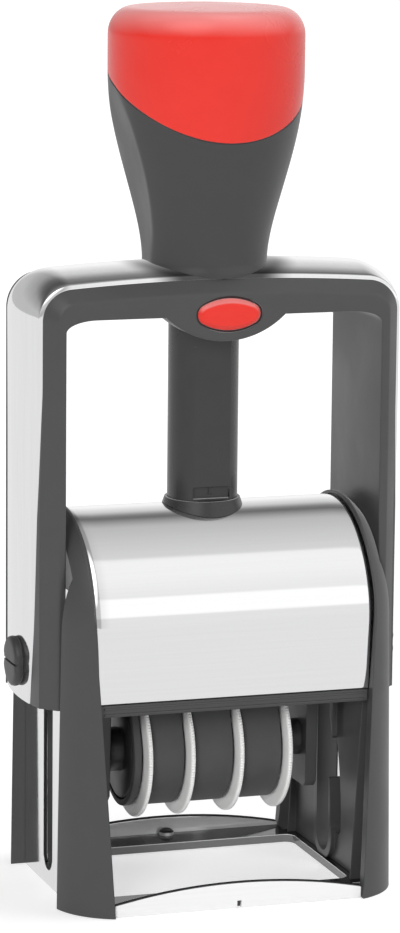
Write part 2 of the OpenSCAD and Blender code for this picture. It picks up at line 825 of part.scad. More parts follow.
module wheel_axle() {
    color([0.7, 0.7, 0.72]) rod_x(axle_r, -cheek_out - 1.4, cheek_out + 1.4, 0, axle_z);
}

module axle_clips() {
    color([0.5, 0.5, 0.52]) {
        for (s = [0, 1]) {
            mirror([s, 0, 0]) difference() {
                rod_x(3.2, cheek_out + fit, cheek_out + 0.8, 0, axle_z);
                rod_x(axle_r + fit, cheek_out - 1, cheek_out + 2, 0, axle_z);
            }
        }
    }
}

module axle_spacer() {
    color([0.5, 0.5, 0.52]) difference() {
        rod_x(3.5, wheel_x[3] + rim_t / 2 + pass, cheek_in - fit, 0, axle_z);
        rod_x(axle_r + fit, 0, 40, 0, axle_z);
    }
}

module print_bridge() {
    bar = nose_r - type_t - fit;
    low = axle_z + wheel_r + pass;
    color([0.3, 0.3, 0.31]) {
        rod_x(bar, -cheek_in + fit, cheek_in - fit, 0, nose_z);
        box([-cheek_in + fit, -1.2, low], [cheek_in - fit, 1.2, nose_z]);
    }
}

// Loop around the drum and the nose, in (Y, Z)
module loop_2d(r1, r2) {
    a = asin((r1 - r2) / (nose_z - axle_z));
    translate([0, axle_z]) circle(r1);
    translate([0, nose_z]) circle(r2);
    polygon([[-r1 * cos(a), axle_z + r1 * sin(a)], [r1 * cos(a), axle_z + r1 * sin(a)],
        [r2 * cos(a), nose_z + r2 * sin(a)], [-r2 * cos(a), nose_z + r2 * sin(a)]]);
}

function drum_low(i) = i == 0 ? -cheek_in + pass : wheel_x[i - 1] + rim_t / 2 + pass;

module type_band(i) {
    x0 = drum_low(i);
    color([0.13, 0.13, 0.14]) along_x(x0, wheel_x[i] - rim_t / 2 - pass - x0) difference() {
        loop_2d(belt_r, nose_r);
        loop_2d(belt_r - type_t, nose_r - type_t);
    }
}

module type_band_1() {
    type_band(0);
}

module type_band_2() {
    type_band(1);
}

module type_band_3() {
    type_band(2);
}

module type_band_4() {
    type_band(3);
}

module thumb_wheel(i) {
    x0 = drum_low(i);
    pitch = 360 / rim_teeth;
    color([0.9, 0.9, 0.88]) difference() {
        union() {
            along_x(wheel_x[i] - rim_t / 2, rim_t) translate([0, axle_z]) polygon([for (k = [0:rim_teeth - 1])
                each [wheel_r * [cos(k * pitch), sin(k * pitch)],
                    (wheel_r - 0.4) * [cos((k + 0.5) * pitch), sin((k + 0.5) * pitch)]]]);
            rod_x(drum_r, x0, wheel_x[i] - rim_t / 2 + eps, 0, axle_z);
        }
        rod_x(axle_r + run, -40, 40, 0, axle_z);
    }
}

module thumb_wheel_1() {
    thumb_wheel(0);
}

module thumb_wheel_2() {
    thumb_wheel(1);
}

module thumb_wheel_3() {
    thumb_wheel(2);
}

module thumb_wheel_4() {
    thumb_wheel(3);
}

base_ring();
side_plate_left();
side_plate_right();
left_side_frame();
right_side_frame();
pad_cover();
cover_liner();
pad_tray();
ink_pad();
housing_bridge();
guide_column();
column_collar();
column_screw();
return_spring();
bow_frame();
bow_band();
guide_bush();
handle_grip();
handle_cap();
push_rod();
handle_screws();
pivot_pins();
pivot_caps();
lock_button();
button_spring();
carrier_cheek_left();
carrier_cheek_right();
follower_pins();
wheel_axle();
axle_clips();
axle_spacer();
print_bridge();
type_band_1();
type_band_2();
type_band_3();
type_band_4();
thumb_wheel_1();
thumb_wheel_2();
thumb_wheel_3();
thumb_wheel_4();
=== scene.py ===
"""Looks of the rotary band stamp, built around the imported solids.

Metres, +Z up, front is -Y. Sizes are written in millimetres and scaled once.
"""
import math

import bmesh
import bpy
from mathutils import Matrix, Vector


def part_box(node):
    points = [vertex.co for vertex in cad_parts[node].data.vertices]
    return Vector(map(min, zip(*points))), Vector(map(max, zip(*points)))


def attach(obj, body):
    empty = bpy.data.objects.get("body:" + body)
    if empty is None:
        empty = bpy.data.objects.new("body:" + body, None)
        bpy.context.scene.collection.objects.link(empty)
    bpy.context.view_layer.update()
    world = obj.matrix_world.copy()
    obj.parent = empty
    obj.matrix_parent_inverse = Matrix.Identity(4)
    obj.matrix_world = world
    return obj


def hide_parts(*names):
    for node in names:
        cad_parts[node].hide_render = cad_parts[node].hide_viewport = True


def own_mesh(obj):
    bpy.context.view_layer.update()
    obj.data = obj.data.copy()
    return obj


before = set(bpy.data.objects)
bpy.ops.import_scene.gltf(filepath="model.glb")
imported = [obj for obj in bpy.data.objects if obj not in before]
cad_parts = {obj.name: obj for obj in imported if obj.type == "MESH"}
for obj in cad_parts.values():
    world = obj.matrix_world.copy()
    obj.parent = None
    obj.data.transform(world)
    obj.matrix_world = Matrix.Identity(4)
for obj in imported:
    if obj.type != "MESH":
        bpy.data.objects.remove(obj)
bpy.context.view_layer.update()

MM = 0.001

# Sizes of the part, in millimetres

# clearances: running, seated, and how much a rim is thinner than its solid
PASS, FIT, RIM_THIN = 0.35, 0.03, 0.3
# bow: outline, bulged strip, lug, opening, and how far the frame's lips lie below the outline
BOW_TOP, BAR_Z, BOW_HALF, BOW_IN, BOW_Y = 117.4, 110.2, 35.2, 30.75, 13.7
TOP_R, CORNER_R, LEG_BOTTOM, SHEET = 400.0, 6.5, 37.3, 0.8
STRIP_Y, BEVEL, CROWN, LEG_SHARE = 10.9, 3.0, 2.0, 0.5
LUG_Z, LUG_R, LUG_TOP, LUG_DEPTH = 105.5, 16.65, 112.6, 5.6
OPEN_W, OPEN_H = 6.0, 2.2
FRONT_SINK, REAR_SINK, SKIN_SINK = 0.6, -0.22, 0.12
CROWN_R = (STRIP_Y ** 2 + CROWN ** 2) / (2 * CROWN)
CORNER_X = BOW_HALF - CORNER_R
TOP_Z0 = BOW_TOP - TOP_R
CORNER_Z = TOP_Z0 + math.sqrt((TOP_R - CORNER_R) ** 2 - CORNER_X ** 2)
CORNER_A = math.asin(CORNER_X / (TOP_R - CORNER_R))
# bores of the bow
BUSH_R, BUSH_SEAT_R, PIN_R, TRAVEL = 7.67, 8.9, 2.8, 35.0
SCREW_D, SCREW_R, SCREW_HEAD_R = 10 / math.sqrt(2), 1.05, 1.9
CUT_TOP = BOW_TOP + 9
# handle: neck, knob, cap, seam between grip and cap, bore of the push rod
NECK_R, KNOB_R, HANDLE_TOP, CAP_H, CAP_R = 11.75, 18.4, 167.0, 11.5, 4.5
NECK_FLARE, NECK_STEP, DOME_R = 0.35, 0.3, 150
KNOB_Z, NECK_Z = HANDLE_TOP - CAP_H, BOW_TOP + 1.7
SEAM_R, SEAM_Y, SEAM_Z = 80.0, 32.1, HANDLE_TOP - 87.7
GRIP_BORE, ROD_TOP, ROD_Z = 7.3, 156.0, 127.0
# side flats of the grip: share of the height, share of the way from neck to knob
FLAT_LINE = [(0.042, -0.048), (0.178, -0.026), (0.299, 0.08), (0.436, 0.254), (0.58, 0.472), (0.719, 0.693),
             (0.832, 0.875), (0.93, 0.995)]
FLAT_TOP = BOW_TOP + FLAT_LINE[-1][0] * (KNOB_Z - BOW_TOP)
# column and pad cover
COLUMN_R, COLLAR_TOP = 6.67, 74.0
COVER_R, COVER_Z, COVER_FRONT, COVER_REAR, COVER_FLAT = 21.0, 51.8, 39.5, 45.0, 26
SPRING_Z = COLLAR_TOP + 1
# carrier: pivot, axle, print nose, wheels, bands
PIVOT_Z, AXLE_Z, NOSE_Z, NOSE_R, CHEEK_IN = 44.2, 25.8, 50.1, 3.0, 19.6
WHEEL_R, RIM_T, DRUM_R, BELT_R, TYPE_T = 13.2, 1.3, 9.4, 10.95, 1.2
HUB_R, BOSS_R, DRUM_EDGE, KNURLS, KNURL_STEPS = 1.56, 4.2, 0.2, 150, 4
WHEEL_X = [CHEEK_IN * k for k in (-0.709, -0.281, 0.214, 0.709)]
PIN_HEAD_X, PIN_HEAD_R, SLIT = BOW_HALF + 0.56 * CROWN, 4.75, 0.22
# lock button, its hole and its pocket
BUTTON_W, BUTTON_H, BUTTON_X, BUTTON_Z = 12.2, 6.0, 0.6, 110.5
BUTTON_Y, POCKET_Y = -BOW_Y - 0.45, -BOW_Y + 3.8
# how far the button's hole, pocket, dark ring of painted shade in the gap, flange and raised face lie outside
# its outline
BUTTON_GAP, POCKET_GAP, GAP_SHADE, FLANGE, FACE = 0.42, 0.85, 0.37, 0.6, -0.75
# inner edge of the base ring: heights and depths between which its painted shade ends and starts
RING_EDGE_Z, RING_EDGE_Y = (1.4, 1.55), (-22.5, -22.0)


def smooth_line(points, t):
    """Value at t of a smooth line through (t, value) points."""
    if t <= points[0][0]:
        return points[0][1]
    if t >= points[-1][0]:
        return points[-1][1]
    slopes = []
    for k in range(len(points)):
        a, b = points[max(k - 1, 0)], points[min(k + 1, len(points) - 1)]
        slopes.append((b[1] - a[1]) / (b[0] - a[0]))
    for k, ((t0, v0), (t1, v1)) in enumerate(zip(points, points[1:])):
        if t <= t1:
            w = t1 - t0
            u = (t - t0) / w
            return ((2 * u ** 3 - 3 * u * u + 1) * v0 + (u ** 3 - 2 * u * u + u) * w * slopes[k]
                    + (3 * u * u - 2 * u ** 3) * v1 + (u ** 3 - u * u) * w * slopes[k + 1])


# Shared surface effects, each one a node group

def add(tree, kind, *first, **named):
    """Adds a node and gives its outputs; a value that is a socket is linked, any other is set.

    Values in a row go to the first inputs, named ones to the attribute or input of that name.
    """
    node = tree.nodes.new("ShaderNode" + kind)
    values = list(enumerate(first))
    for key, value in named.items():
        if hasattr(node, key):
            setattr(node, key, value)
        else:
            values.append((key.replace("_", " "), value))
    for key, value in values:
        if isinstance(value, bpy.types.NodeSocket):
            tree.links.new(value, node.inputs[key])
        else:
            node.inputs[key].default_value = value
    return node.outputs


def math_node(tree, operation, first, second):
    """Adds a sum; each side is a number or a socket."""
    return add(tree, "Math", first, second, operation=operation)[0]


def on_piece(tree):
    """Place on the piece."""
    return add(tree, "TexCoord")["Object"]


def group(name, **inputs):
    """Starts a node group; gives its tree and the sockets of its inputs."""
    tree = bpy.data.node_groups.new(name, "ShaderNodeTree")
    for label, value in inputs.items():
        kind = "NodeSocketFloat" if isinstance(value, float) else "NodeSocketVector"
        socket = tree.interface.new_socket(label.replace("_", " "), in_out="INPUT", socket_type=kind)
        socket.default_value = value
    return tree, tree.nodes.new("NodeGroupInput").outputs


def close(tree, **results):
    """Ends a node group with its named results."""
    for label in results:
        tree.interface.new_socket(label, in_out="OUTPUT", socket_type="NodeSocketFloat")
    end = tree.nodes.new("NodeGroupOutput")
    for label, socket in results.items():
        tree.links.new(socket, end.inputs[label])
    return tree


def make_moulded_grain():
    """Fine spark-eroded grain of a moulded plastic face."""
    tree, start = group("moulded_grain", Scale=6000.0, Soft_Scale=300.0)
    fine = add(tree, "TexNoise", Vector=on_piece(tree), Scale=start["Scale"], Detail=3.0,
               Roughness=0.6)
    soft = add(tree, "TexNoise", Vector=on_piece(tree), Scale=start["Soft Scale"], Detail=2.0,
               Roughness=0.5)
    return close(tree, Height=fine["Fac"], Mottle=soft["Fac"])


def make_handling_marks():
    """Large faint patches where fingers have changed the gloss."""
    tree, start = group("handling_marks", Scale=60.0)
    patch = add(tree, "TexNoise", Vector=on_piece(tree), Scale=start["Scale"], Detail=4.0,
                Roughness=0.55, Distortion=0.6)
    level = add(tree, "MapRange", Value=patch["Fac"], From_Min=0.35, From_Max=0.7)
    return close(tree, Mask=level["Result"])


def make_rolled_lines():
    """Fine lines left by rolling and polishing the sheet, long where the stretch is small."""
    tree, start = group("rolled_lines", Stretch=(60.0, 2500.0, 2500.0))
    scale = add(tree, "VectorMath", on_piece(tree), start["Stretch"], operation="MULTIPLY")
    lines = add(tree, "TexNoise", Vector=scale["Vector"], Scale=1.0, Detail=4.0,
                Roughness=0.6)
    level = add(tree, "MapRange", Value=lines["Fac"], From_Min=0.3, From_Max=0.7)
    return close(tree, Height=lines["Fac"], Streak=level["Result"])


def make_mask(name, value_of, inputs, **mapping):
    """Node group that turns a value into a mask between the limits Low and High."""
    tree, start = group(name, **inputs)
    level = add(tree, "MapRange", Value=value_of(tree, start), From_Min=start["Low"],
                From_Max=start["High"], **mapping)
    return close(tree, Mask=level["Result"])


def looks_up(tree, _):
    """How far a face looks up."""
    normal = add(tree, "NewGeometry")["Normal"]
    return add(tree, "SeparateXYZ", normal)["Z"]


def along_axis(tree, start):
    """Place along the axis that the group is given."""
    along = add(tree, "VectorMath", on_piece(tree), start["Axis"], operation="DOT_PRODUCT")
    return along["Value"]


def from_upright(tree, _):
    """Distance from the upright axis of the part."""
    flat = add(tree, "VectorMath", on_piece(tree), (1.0, 1.0, 0.0), operation="MULTIPLY")
    return add(tree, "VectorMath", flat["Vector"], operation="LENGTH")["Value"]


GRAIN = make_moulded_grain()
MARKS = make_handling_marks()
LINES = make_rolled_lines()
UPWARD = make_mask("upward_faces", looks_up, {"Low": 0.25, "High": 0.45})
HEIGHT = make_mask("height_band", along_axis, {"Axis": (0.0, 0.0, 1.0), "Low": 0.0, "High": 0.01})
ROUND = make_mask("round_axis", from_upright, {"Low": 0.0, "High": 0.01}, interpolation_type="SMOOTHSTEP",
                  To_Min=1.0, To_Max=0.0)


# Finishes

class Finish:
    """A material with its shader and short ways to place a shared effect."""

    def __init__(self, name):
        self.material = bpy.data.materials.new(name)
        self.material.use_nodes = True
        self.tree = self.material.node_tree
        self.shader = self.tree.nodes["Principled BSDF"]

    def effect(self, tree, **values):
        """Outputs of a shared effect."""
        return add(self.tree, "Group", node_tree=tree, **values)

    def blend(self, mask, low, high):
        """Colour between a tone, or a colour made before, and a tone."""
        low = (*low, 1) if isinstance(low, tuple) else low
        node = add(self.tree, "Mix", data_type="RGBA", Factor=mask, A=low, B=(*high, 1))
        return node["Result"]

    def span(self, mask, low, high):
        """Value between two numbers."""
        return add(self.tree, "MapRange", Value=mask, To_Min=low, To_Max=high)["Result"]

    def link(self, socket, label):
        """Feeds a socket to the shader."""
        self.tree.links.new(socket, self.shader.inputs[label])

    def bump(self, height, distance, edge):
        """Fine relief on the surface, over edges that are rounded by the given radius."""
        turned = add(self.tree, "Bevel", samples=6, Radius=edge)
        node = add(self.tree, "Bump", Height=height, Distance=distance, Strength=1.0,
                   Normal=turned["Normal"])
        self.link(node["Normal"], "Normal")


# radius of the shading over edges, in metres, and how much handling changes the gloss
PLASTIC_EDGE, METAL_EDGE, HANDLED = 0.0003, 0.00015, 0.05
# painted shade of the ring's inner edge, and painted dark reflection of the grip on the strip round the
# handle's foot
EDGE_SHADE_GREY, GRIP_REFLECTION_GREY = (0.2, 0.2, 0.2), (0.09, 0.09, 0.09)


def plastic(name, tone, lift, rough, grain=5000.0, depth=0.000012, pale_up_reflection=None):
    """Moulded plastic: mottled tone, fine grain and gloss patches; faces that look up may get a painted pale
    reflection.
    """
    f = Finish(name)
    grains = f.effect(GRAIN, Scale=grain)
    colour = f.blend(grains["Mottle"], tone, lift)
    if pale_up_reflection:
        # painted reflection: faces that look up are paled as if they showed the bright studio above
        colour = f.blend(f.effect(UPWARD, Low=0.1, High=0.95)["Mask"], colour, pale_up_reflection)
    f.link(colour, "Base Color")
    f.link(f.span(f.effect(MARKS)["Mask"], rough + HANDLED, rough - HANDLED), "Roughness")
    f.bump(grains["Height"], depth, PLASTIC_EDGE)
    return f.material


def metal(name, tone, dull, rough, stretch, depth=0.000002, spread=0.04, plate=1.0, dark_up_reflection=None, rubbed=None,
          foot=None):
    """Plated or bright sheet with fine rolling lines and faint handling marks.

    Faces that look up may get a painted dark reflection, with painted shade on the ring's inner edge. The
    sheet may be rubbed duller above a height, and gets a painted dark reflection of the grip round the foot
    of the handle.
    """
    f = Finish(name)
    lines = f.effect(LINES, Stretch=stretch)
    colour = f.blend(lines["Streak"], tone, dull)
    if dark_up_reflection:
        low, high = (z * MM for z in RING_EDGE_Z)
        below = f.span(f.effect(HEIGHT, Low=low, High=high)["Mask"], 1.0, 0.0)
        low, high = (y * MM for y in RING_EDGE_Y)
        behind = f.effect(HEIGHT, Axis=(0.0, 1.0, 0.0), Low=low, High=high)["Mask"]
        # painted shade: faces of the ring low down and behind the front rail, such as the window's inner
        # edge, are greyed
        colour = f.blend(math_node(f.tree, "MULTIPLY", below, behind), colour, EDGE_SHADE_GREY)
        # painted reflection: faces that look up, such as the flange and the top of the front rail, are
        # darkened as if they showed the dark inside
        colour = f.blend(f.effect(UPWARD)["Mask"], colour, dark_up_reflection)
    if foot:
        # painted reflection: the strip is darkened round the grip's foot in place of the grip's dark
        # reflection
        near = f.effect(ROUND, Low=foot[0] * MM, High=foot[1] * MM)["Mask"]
        colour = f.blend(near, colour, GRIP_REFLECTION_GREY)
    f.link(colour, "Base Color")
    gloss = f.span(f.effect(MARKS)["Mask"], rough, rough + spread)
    if rubbed:
        above = f.effect(HEIGHT, Low=rubbed[0] * MM, High=rubbed[1] * MM)["Mask"]
        gloss = math_node(f.tree, "ADD", gloss, f.span(above, 0.0, rubbed[2]))
    f.link(gloss, "Roughness")
    f.bump(lines["Height"], depth, METAL_EDGE)
    f.shader.inputs["Metallic"].default_value = plate
    return f.material


GREY_PLASTIC = plastic("grey_plastic", (0.056, 0.056, 0.057), (0.062, 0.062, 0.063), 0.36)
BLACK_PLASTIC = plastic("black_plastic", (0.053, 0.053, 0.054), (0.059, 0.059, 0.060), 0.38)
DARK_PLASTIC = plastic("dark_plastic", (0.035, 0.035, 0.036), (0.042, 0.042, 0.043), 0.40)
GRIP_PLASTIC = plastic("grip_plastic", (0.041, 0.041, 0.042), (0.046, 0.046, 0.047), 0.34)
COLUMN_PLASTIC = plastic("column_plastic", (0.030, 0.030, 0.031), (0.036, 0.036, 0.037), 0.26)
# painted highlight: the cap's top and the button's upper rim are paled on faces that look up
RED_PLASTIC = plastic("red_plastic", (0.76, 0.022, 0.012), (0.79, 0.028, 0.016), 0.24, depth=0.000004,
                      pale_up_reflection=(0.84, 0.30, 0.29))
# painted shade: dark red for the ring that fills the gap round the button
GAP_SHADE_PLASTIC = plastic("gap_shade_plastic", (0.020, 0.006, 0.006), (0.028, 0.009, 0.008), 0.6)
BUSH_PLASTIC = plastic("bush_plastic", (0.70, 0.64, 0.48), (0.76, 0.70, 0.54), 0.4)
WHITE_PLASTIC = plastic("white_plastic", (0.90, 0.90, 0.89), (0.94, 0.94, 0.93), 0.35, depth=0.000006)
BAND_RUBBER = plastic("band_rubber", (0.060, 0.060, 0.061), (0.072, 0.072, 0.073), 0.6, grain=3500.0)
PAD_FELT = plastic("pad_felt", (0.020, 0.020, 0.045), (0.045, 0.045, 0.075), 0.9, grain=1800.0, depth=0.00015)
BRIGHT, BRIGHT_DULL, UPRIGHT_LINES = (0.92, 0.92, 0.925), (0.88, 0.88, 0.885), (900.0, 900.0, 40.0)
CHROME = metal("bright_metal", BRIGHT, BRIGHT_DULL, 0.06, UPRIGHT_LINES)
# painted reflection of the grip: the strip is darkened round the handle's foot
STRIP_METAL = metal("strip_metal", BRIGHT, BRIGHT_DULL, 0.06, UPRIGHT_LINES, foot=(13.0, 18.0))
SATIN = metal("satin_metal", BRIGHT, (0.90, 0.90, 0.905), 0.05, (30.0, 2600.0, 2600.0), depth=0.000001,
              spread=0.03, rubbed=(67.6, 70.0, 0.05))
# painted reflection: the ring's faces that look up are darkened
RING_METAL = metal("ring_metal", (0.97, 0.97, 0.97), (0.93, 0.93, 0.935), 0.1, (40.0, 2600.0, 2600.0),
                   plate=0.4, dark_up_reflection=(0.03, 0.03, 0.032))
STEEL = metal("steel", (0.62, 0.62, 0.64), (0.52, 0.52, 0.54), 0.25, (60.0, 2200.0, 2200.0))


# Mesh making

def place(piece, body, finish, nodes, smooth=35):
    """Gives a piece its finish, smooth shading and body, and hides the solids that it stands for."""
    piece.data.materials.clear()
    piece.data.materials.append(finish)
    piece.data.shade_smooth()
    piece.data.set_sharp_from_angle(angle=math.radians(smooth))
    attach(piece, body)
    if nodes:
        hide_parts(*nodes)
    return piece


def mesh_piece(name, points, faces):
    """New object from points in millimetres."""
    mesh = bpy.data.meshes.new(name)
    mesh.from_pydata([[c * MM for c in p] for p in points], [], faces)
    shape = bmesh.new()
    shape.from_mesh(mesh)
    bmesh.ops.remove_doubles(shape, verts=shape.verts, dist=1e-7)
    bmesh.ops.recalc_face_normals(shape, faces=shape.faces)
    shape.to_mesh(mesh)
    shape.free()
    piece = bpy.data.objects.new(name, mesh)
    bpy.context.scene.collection.objects.link(piece)
    return piece


def loft(rings, close_rows=False):
    """Points and faces of a skin over rings of equal length, joined end to end or capped."""
    count = len(rings[0])
    points = [p for ring in rings for p in ring]
    faces = []
    for r in range(len(rings) if close_rows else len(rings) - 1):
        a, b = r * count, ((r + 1) % len(rings)) * count
        for i in range(count):
            j = (i + 1) % count
            faces.append((a + i, a + j, b + j, b + i))
    if not close_rows:
        faces.append(tuple(range(count - 1, -1, -1)))
        faces.append(tuple(range((len(rings) - 1) * count, len(rings) * count)))
    return points, faces


def combine(piece, operation, *tools):
    """Cuts closed shapes out of a piece, or joins them to it, and removes them."""
    for tool in tools:
        step = piece.modifiers.new("combine", "BOOLEAN")
        step.operation, step.solver, step.object = operation, "EXACT", tool
    bpy.context.view_layer.update()
    graph = bpy.context.evaluated_depsgraph_get()
    mesh = bpy.data.meshes.new_from_object(piece.evaluated_get(graph))
    piece.modifiers.clear()
    piece.data = mesh
    for tool in tools:
        bpy.data.objects.remove(tool)
    return piece


def angles_round(count):
    """Even angles round a full turn."""
    return [2 * math.pi * i / count for i in range(count)]


def circle(radius, sides):
    """Points round a circle."""
    return [(radius * math.cos(a), radius * math.sin(a)) for a in angles_round(sides)]


def rounded_box(x0, x1, y0, y1, corner, steps, inset=0.0):
    """Outline of a box with rounded corners, or a little inside it."""
    left, right, low, high = x0 + corner, x1 - corner, y0 + corner, y1 - corner
    r = corner - inset
    points = []
    for x, y, start in ((right, high, 0), (left, high, 90), (left, low, 180), (right, low, 270)):
        for a in (math.radians(start + 90 * k / steps) for k in range(steps + 1)):
            points.append((x + r * math.cos(a), y + r * math.sin(a)))
    return points


def post(radius, low, high, sides=96, centre=(0, 0)):
    """Upright round tool for cutting."""
    rings = [[(centre[0] + x, centre[1] + y, z) for x, y in circle(radius, sides)] for z in (low, high)]
    return mesh_piece("tool", *loft(rings))


def rod(radius, z, reach=50, sides=96):
    """Round tool along X for cutting."""
    rings = [[(x, a, z + b) for a, b in circle(radius, sides)] for x in (-reach, reach)]
    return mesh_piece("tool", *loft(rings))


def screw_tool(side, radius, low, high):
    """Upright tool for one of the two handle screws."""
    return post(radius, low, high, 32, (side * SCREW_D, side * SCREW_D))


# rolled edges: radius in millimetres, and the angle in radians above which an edge is sharp
ROLL, ROLL_ANGLE = 0.5, 1.0


def softened(node, body, finish, roll_above=None):
    """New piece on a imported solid's own form, shaded smooth; sharp edges above a height may be rolled."""
    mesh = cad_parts[node].data.copy()
    for attribute in [a for a in mesh.attributes if a.name in ("custom_normal", "sharp_edge", "sharp_face")]:
        mesh.attributes.remove(attribute)
    shape = bmesh.new()
    shape.from_mesh(mesh)
    bmesh.ops.remove_doubles(shape, verts=shape.verts, dist=1e-6)
    if roll_above:
        bmesh.ops.dissolve_limit(shape, angle_limit=math.radians(1), verts=shape.verts, edges=shape.edges)
        sharp = [e for e in shape.edges if min(v.co.z for v in e.verts) > roll_above * MM
                 and len(e.link_faces) == 2 and e.calc_face_angle() > ROLL_ANGLE]
        bmesh.ops.bevel(shape, geom=sharp, offset=ROLL * MM, offset_type="OFFSET", segments=4, profile=0.5,
                        affect="EDGES", clamp_overlap=True)
    shape.to_mesh(mesh)
    shape.free()
    piece = bpy.data.objects.new(node + "_form", mesh)
    bpy.context.scene.collection.objects.link(piece)
    return place(piece, body, finish, [node], smooth=28)


# Handle

def bezier(a, b, c, d, t):
    """Value at t of a curve from a to d, drawn towards b and c."""
    return (1 - t) ** 3 * a + 3 * (1 - t) ** 2 * t * b + 3 * (1 - t) * t * t * c + t ** 3 * d


SIDE = [(bezier(NECK_R, NECK_R, KNOB_R, KNOB_R, i / 200),
         bezier(NECK_Z, NECK_Z + 9, KNOB_Z - 17, KNOB_Z, i / 200)) for i in range(201)]


def handle_radius(z):
    """Radius of the turned handle at a height."""
    if z <= BOW_TOP + NECK_STEP:
        return NECK_R + NECK_FLARE
    if z <= NECK_Z:
        return NECK_R + NECK_FLARE * (NECK_Z - z) / (NECK_Z - BOW_TOP - NECK_STEP)
    if z >= KNOB_Z:
        return KNOB_R
    for (r0, z0), (r1, z1) in zip(SIDE, SIDE[1:]):
        if z <= z1:
            return r0 + (r1 - r0) * (z - z0) / (z1 - z0)
    return KNOB_R


def flat_distance(z):
    """Distance of the side flats from the axis at a height."""
    share = smooth_line(FLAT_LINE, (z - BOW_TOP) / (KNOB_Z - BOW_TOP))
    return NECK_R + share * (KNOB_R - NECK_R)


def soft_min(a, b, k):
    """Lesser of two values, blended where they come within k of each other."""
    h = max(k - abs(a - b), 0.0) / k
    return min(a, b) - h * h * k / 4


FLAT_STEPS = [0, 0.25, 0.5, 0.7, 0.82, 0.9, 0.95, 0.985, 1.0]
ROUND_STEPS = [0.006, 0.02, 0.045, 0.09, 0.15, 0.23, 0.32, 0.42, 0.52, 0.62, 0.72, 0.82, 0.91]


def handle_angles(z):
    """Angles round the handle, with lines that follow the creases of the flats."""
    ratio = min(1.0, flat_distance(z) / handle_radius(z))
    crease = max(math.acos(ratio), math.radians(4))
    quarter = [crease * s for s in FLAT_STEPS] + [crease + (math.pi / 2 - crease) * s for s in ROUND_STEPS]
    half = quarter + [math.pi / 2] + [math.pi - a for a in reversed(quarter[1:])]
    return half + [math.pi + a for a in half]


def handle_point(angle, z, inset=0.0):
    """Point on the handle's skin, or a little inside it."""
    r = handle_radius(z)
    c = abs(math.cos(angle))
    if c > 1e-3 and z < FLAT_TOP:
        r = soft_min(r, flat_distance(z) / c, 0.25)
    r -= inset
    return r * math.cos(angle), r * math.sin(angle), z


def seam_height(y):
    """Height of the seam between grip and cap."""
    return SEAM_Z + math.sqrt(SEAM_R ** 2 - (y - SEAM_Y) ** 2)


def saddle_height(x, y):
    """Height of the bright strip's bulged top."""
    return BOW_TOP + CROWN - CROWN_R + math.sqrt((CROWN_R + FIT) ** 2 - y * y) - x * x / (2 * TOP_R)


def at_seam(angle_at):
    """Height at which a line up the handle meets the seam; the line's angle may change with height."""
    z = KNOB_Z - 6
    for _ in range(40):
        z = seam_height(handle_point(angle_at(z), z)[1])
    return z


def make_grip():
    """Grip with two side flats, a foot on the bow's bulge and a rounded upper edge at the seam."""
    rows, edge_drop = 90, 0.3
    rounding = ((0.03, 0.2), (0.12, 0.12), (0.3, 0.08))
    columns = []
    for i in range(len(handle_angles(NECK_Z))):
        seam = at_seam(lambda z: handle_angles(z)[i])
        x, y, _ = handle_point(handle_angles(NECK_Z)[i], BOW_TOP)
        foot = saddle_height(x, y)
        column = [handle_point(handle_angles(z)[i], z) for z in
                  (foot + (seam - edge_drop - foot) * r / rows for r in range(rows + 1))]
        angle = handle_angles(seam)[i]
        for inset, drop in rounding:
            x, y, z = handle_point(angle, seam - drop, inset)
            column.append((x, y, min(z, seam_height(y) - rounding[-1][1])))
        x, y = GRIP_BORE * math.cos(angle), GRIP_BORE * math.sin(angle)
        column += [(x, y, seam_height(y) - FIT), (x, y, saddle_height(x, y))]
        columns.append(column)
    piece = mesh_piece("grip", *loft(columns, close_rows=True))
    return place(piece, "bow", GRIP_PLASTIC, ["handle_grip"])


def dome(r):
    """Height of the cap's top at a distance from the axis."""
    return HANDLE_TOP - DOME_R + math.sqrt(DOME_R ** 2 - r * r)


def make_cap():
    """Red cap: curved lower edge, straight wall, rounded shoulder and a nearly flat dome."""
    rows, wall_lift, last, centre, count = 12, 0.14, math.radians(85), 0.02, 192
    angles = angles_round(count)
    shoulder = HANDLE_TOP - CAP_R - 1.2
    seam = [at_seam(lambda z: a) for a in angles]

    def level(r, z):
        return [(x, y, z) for x, y in circle(r, count)]
    rings = [level(centre, ROD_TOP), level(GRIP_BORE, ROD_TOP),
             [(x, y, seam_height(y) + FIT) for x, y in circle(GRIP_BORE, count)]]
    for inset, lift in ((0.5, 0.03), (0.18, 0.03), (0.06, 0.06)):
        rings.append([])
        for a, s in zip(angles, seam):
            x, y, _ = handle_point(a, s + lift, inset)
            rings[-1].append((x, y, seam_height(y) + lift))
    for t in (r / rows for r in range(rows + 1)):
        rings.append([handle_point(a, s + wall_lift + t * (shoulder - s - wall_lift))
                      for a, s in zip(angles, seam)])
    centre_r = KNOB_R - CAP_R
    for a in (k / rows * last for k in range(1, rows + 1)):
        r = centre_r + CAP_R * math.cos(a)
        z = shoulder + (dome(centre_r) - shoulder) * math.sin(a) / math.sin(last)
        rings.append(level(r, z))
    rings += [level(r, dome(r)) for r in (12, 9.5, 7, 4.5, 2, centre)]
    piece = mesh_piece("cap", *loft(rings))
    return place(piece, "bow", RED_PLASTIC, ["handle_cap"])


# Bow

def resample(path, count):
    """Evenly spaced points along a path of equal-length tuples; the first two values give the place."""
    lengths = [0.0]
    for a, b in zip(path, path[1:]):
        lengths.append(lengths[-1] + math.hypot(b[0] - a[0], b[1] - a[1]))
    out, k = [], 0
    for i in range(count):
        target = lengths[-1] * i / (count - 1)
        while k < len(path) - 2 and lengths[k + 1] < target:
            k += 1
        t = (target - lengths[k]) / (lengths[k + 1] - lengths[k])
        out.append(tuple(a + (b - a) * min(max(t, 0.0), 1.0) for a, b in zip(path[k], path[k + 1])))
    return out


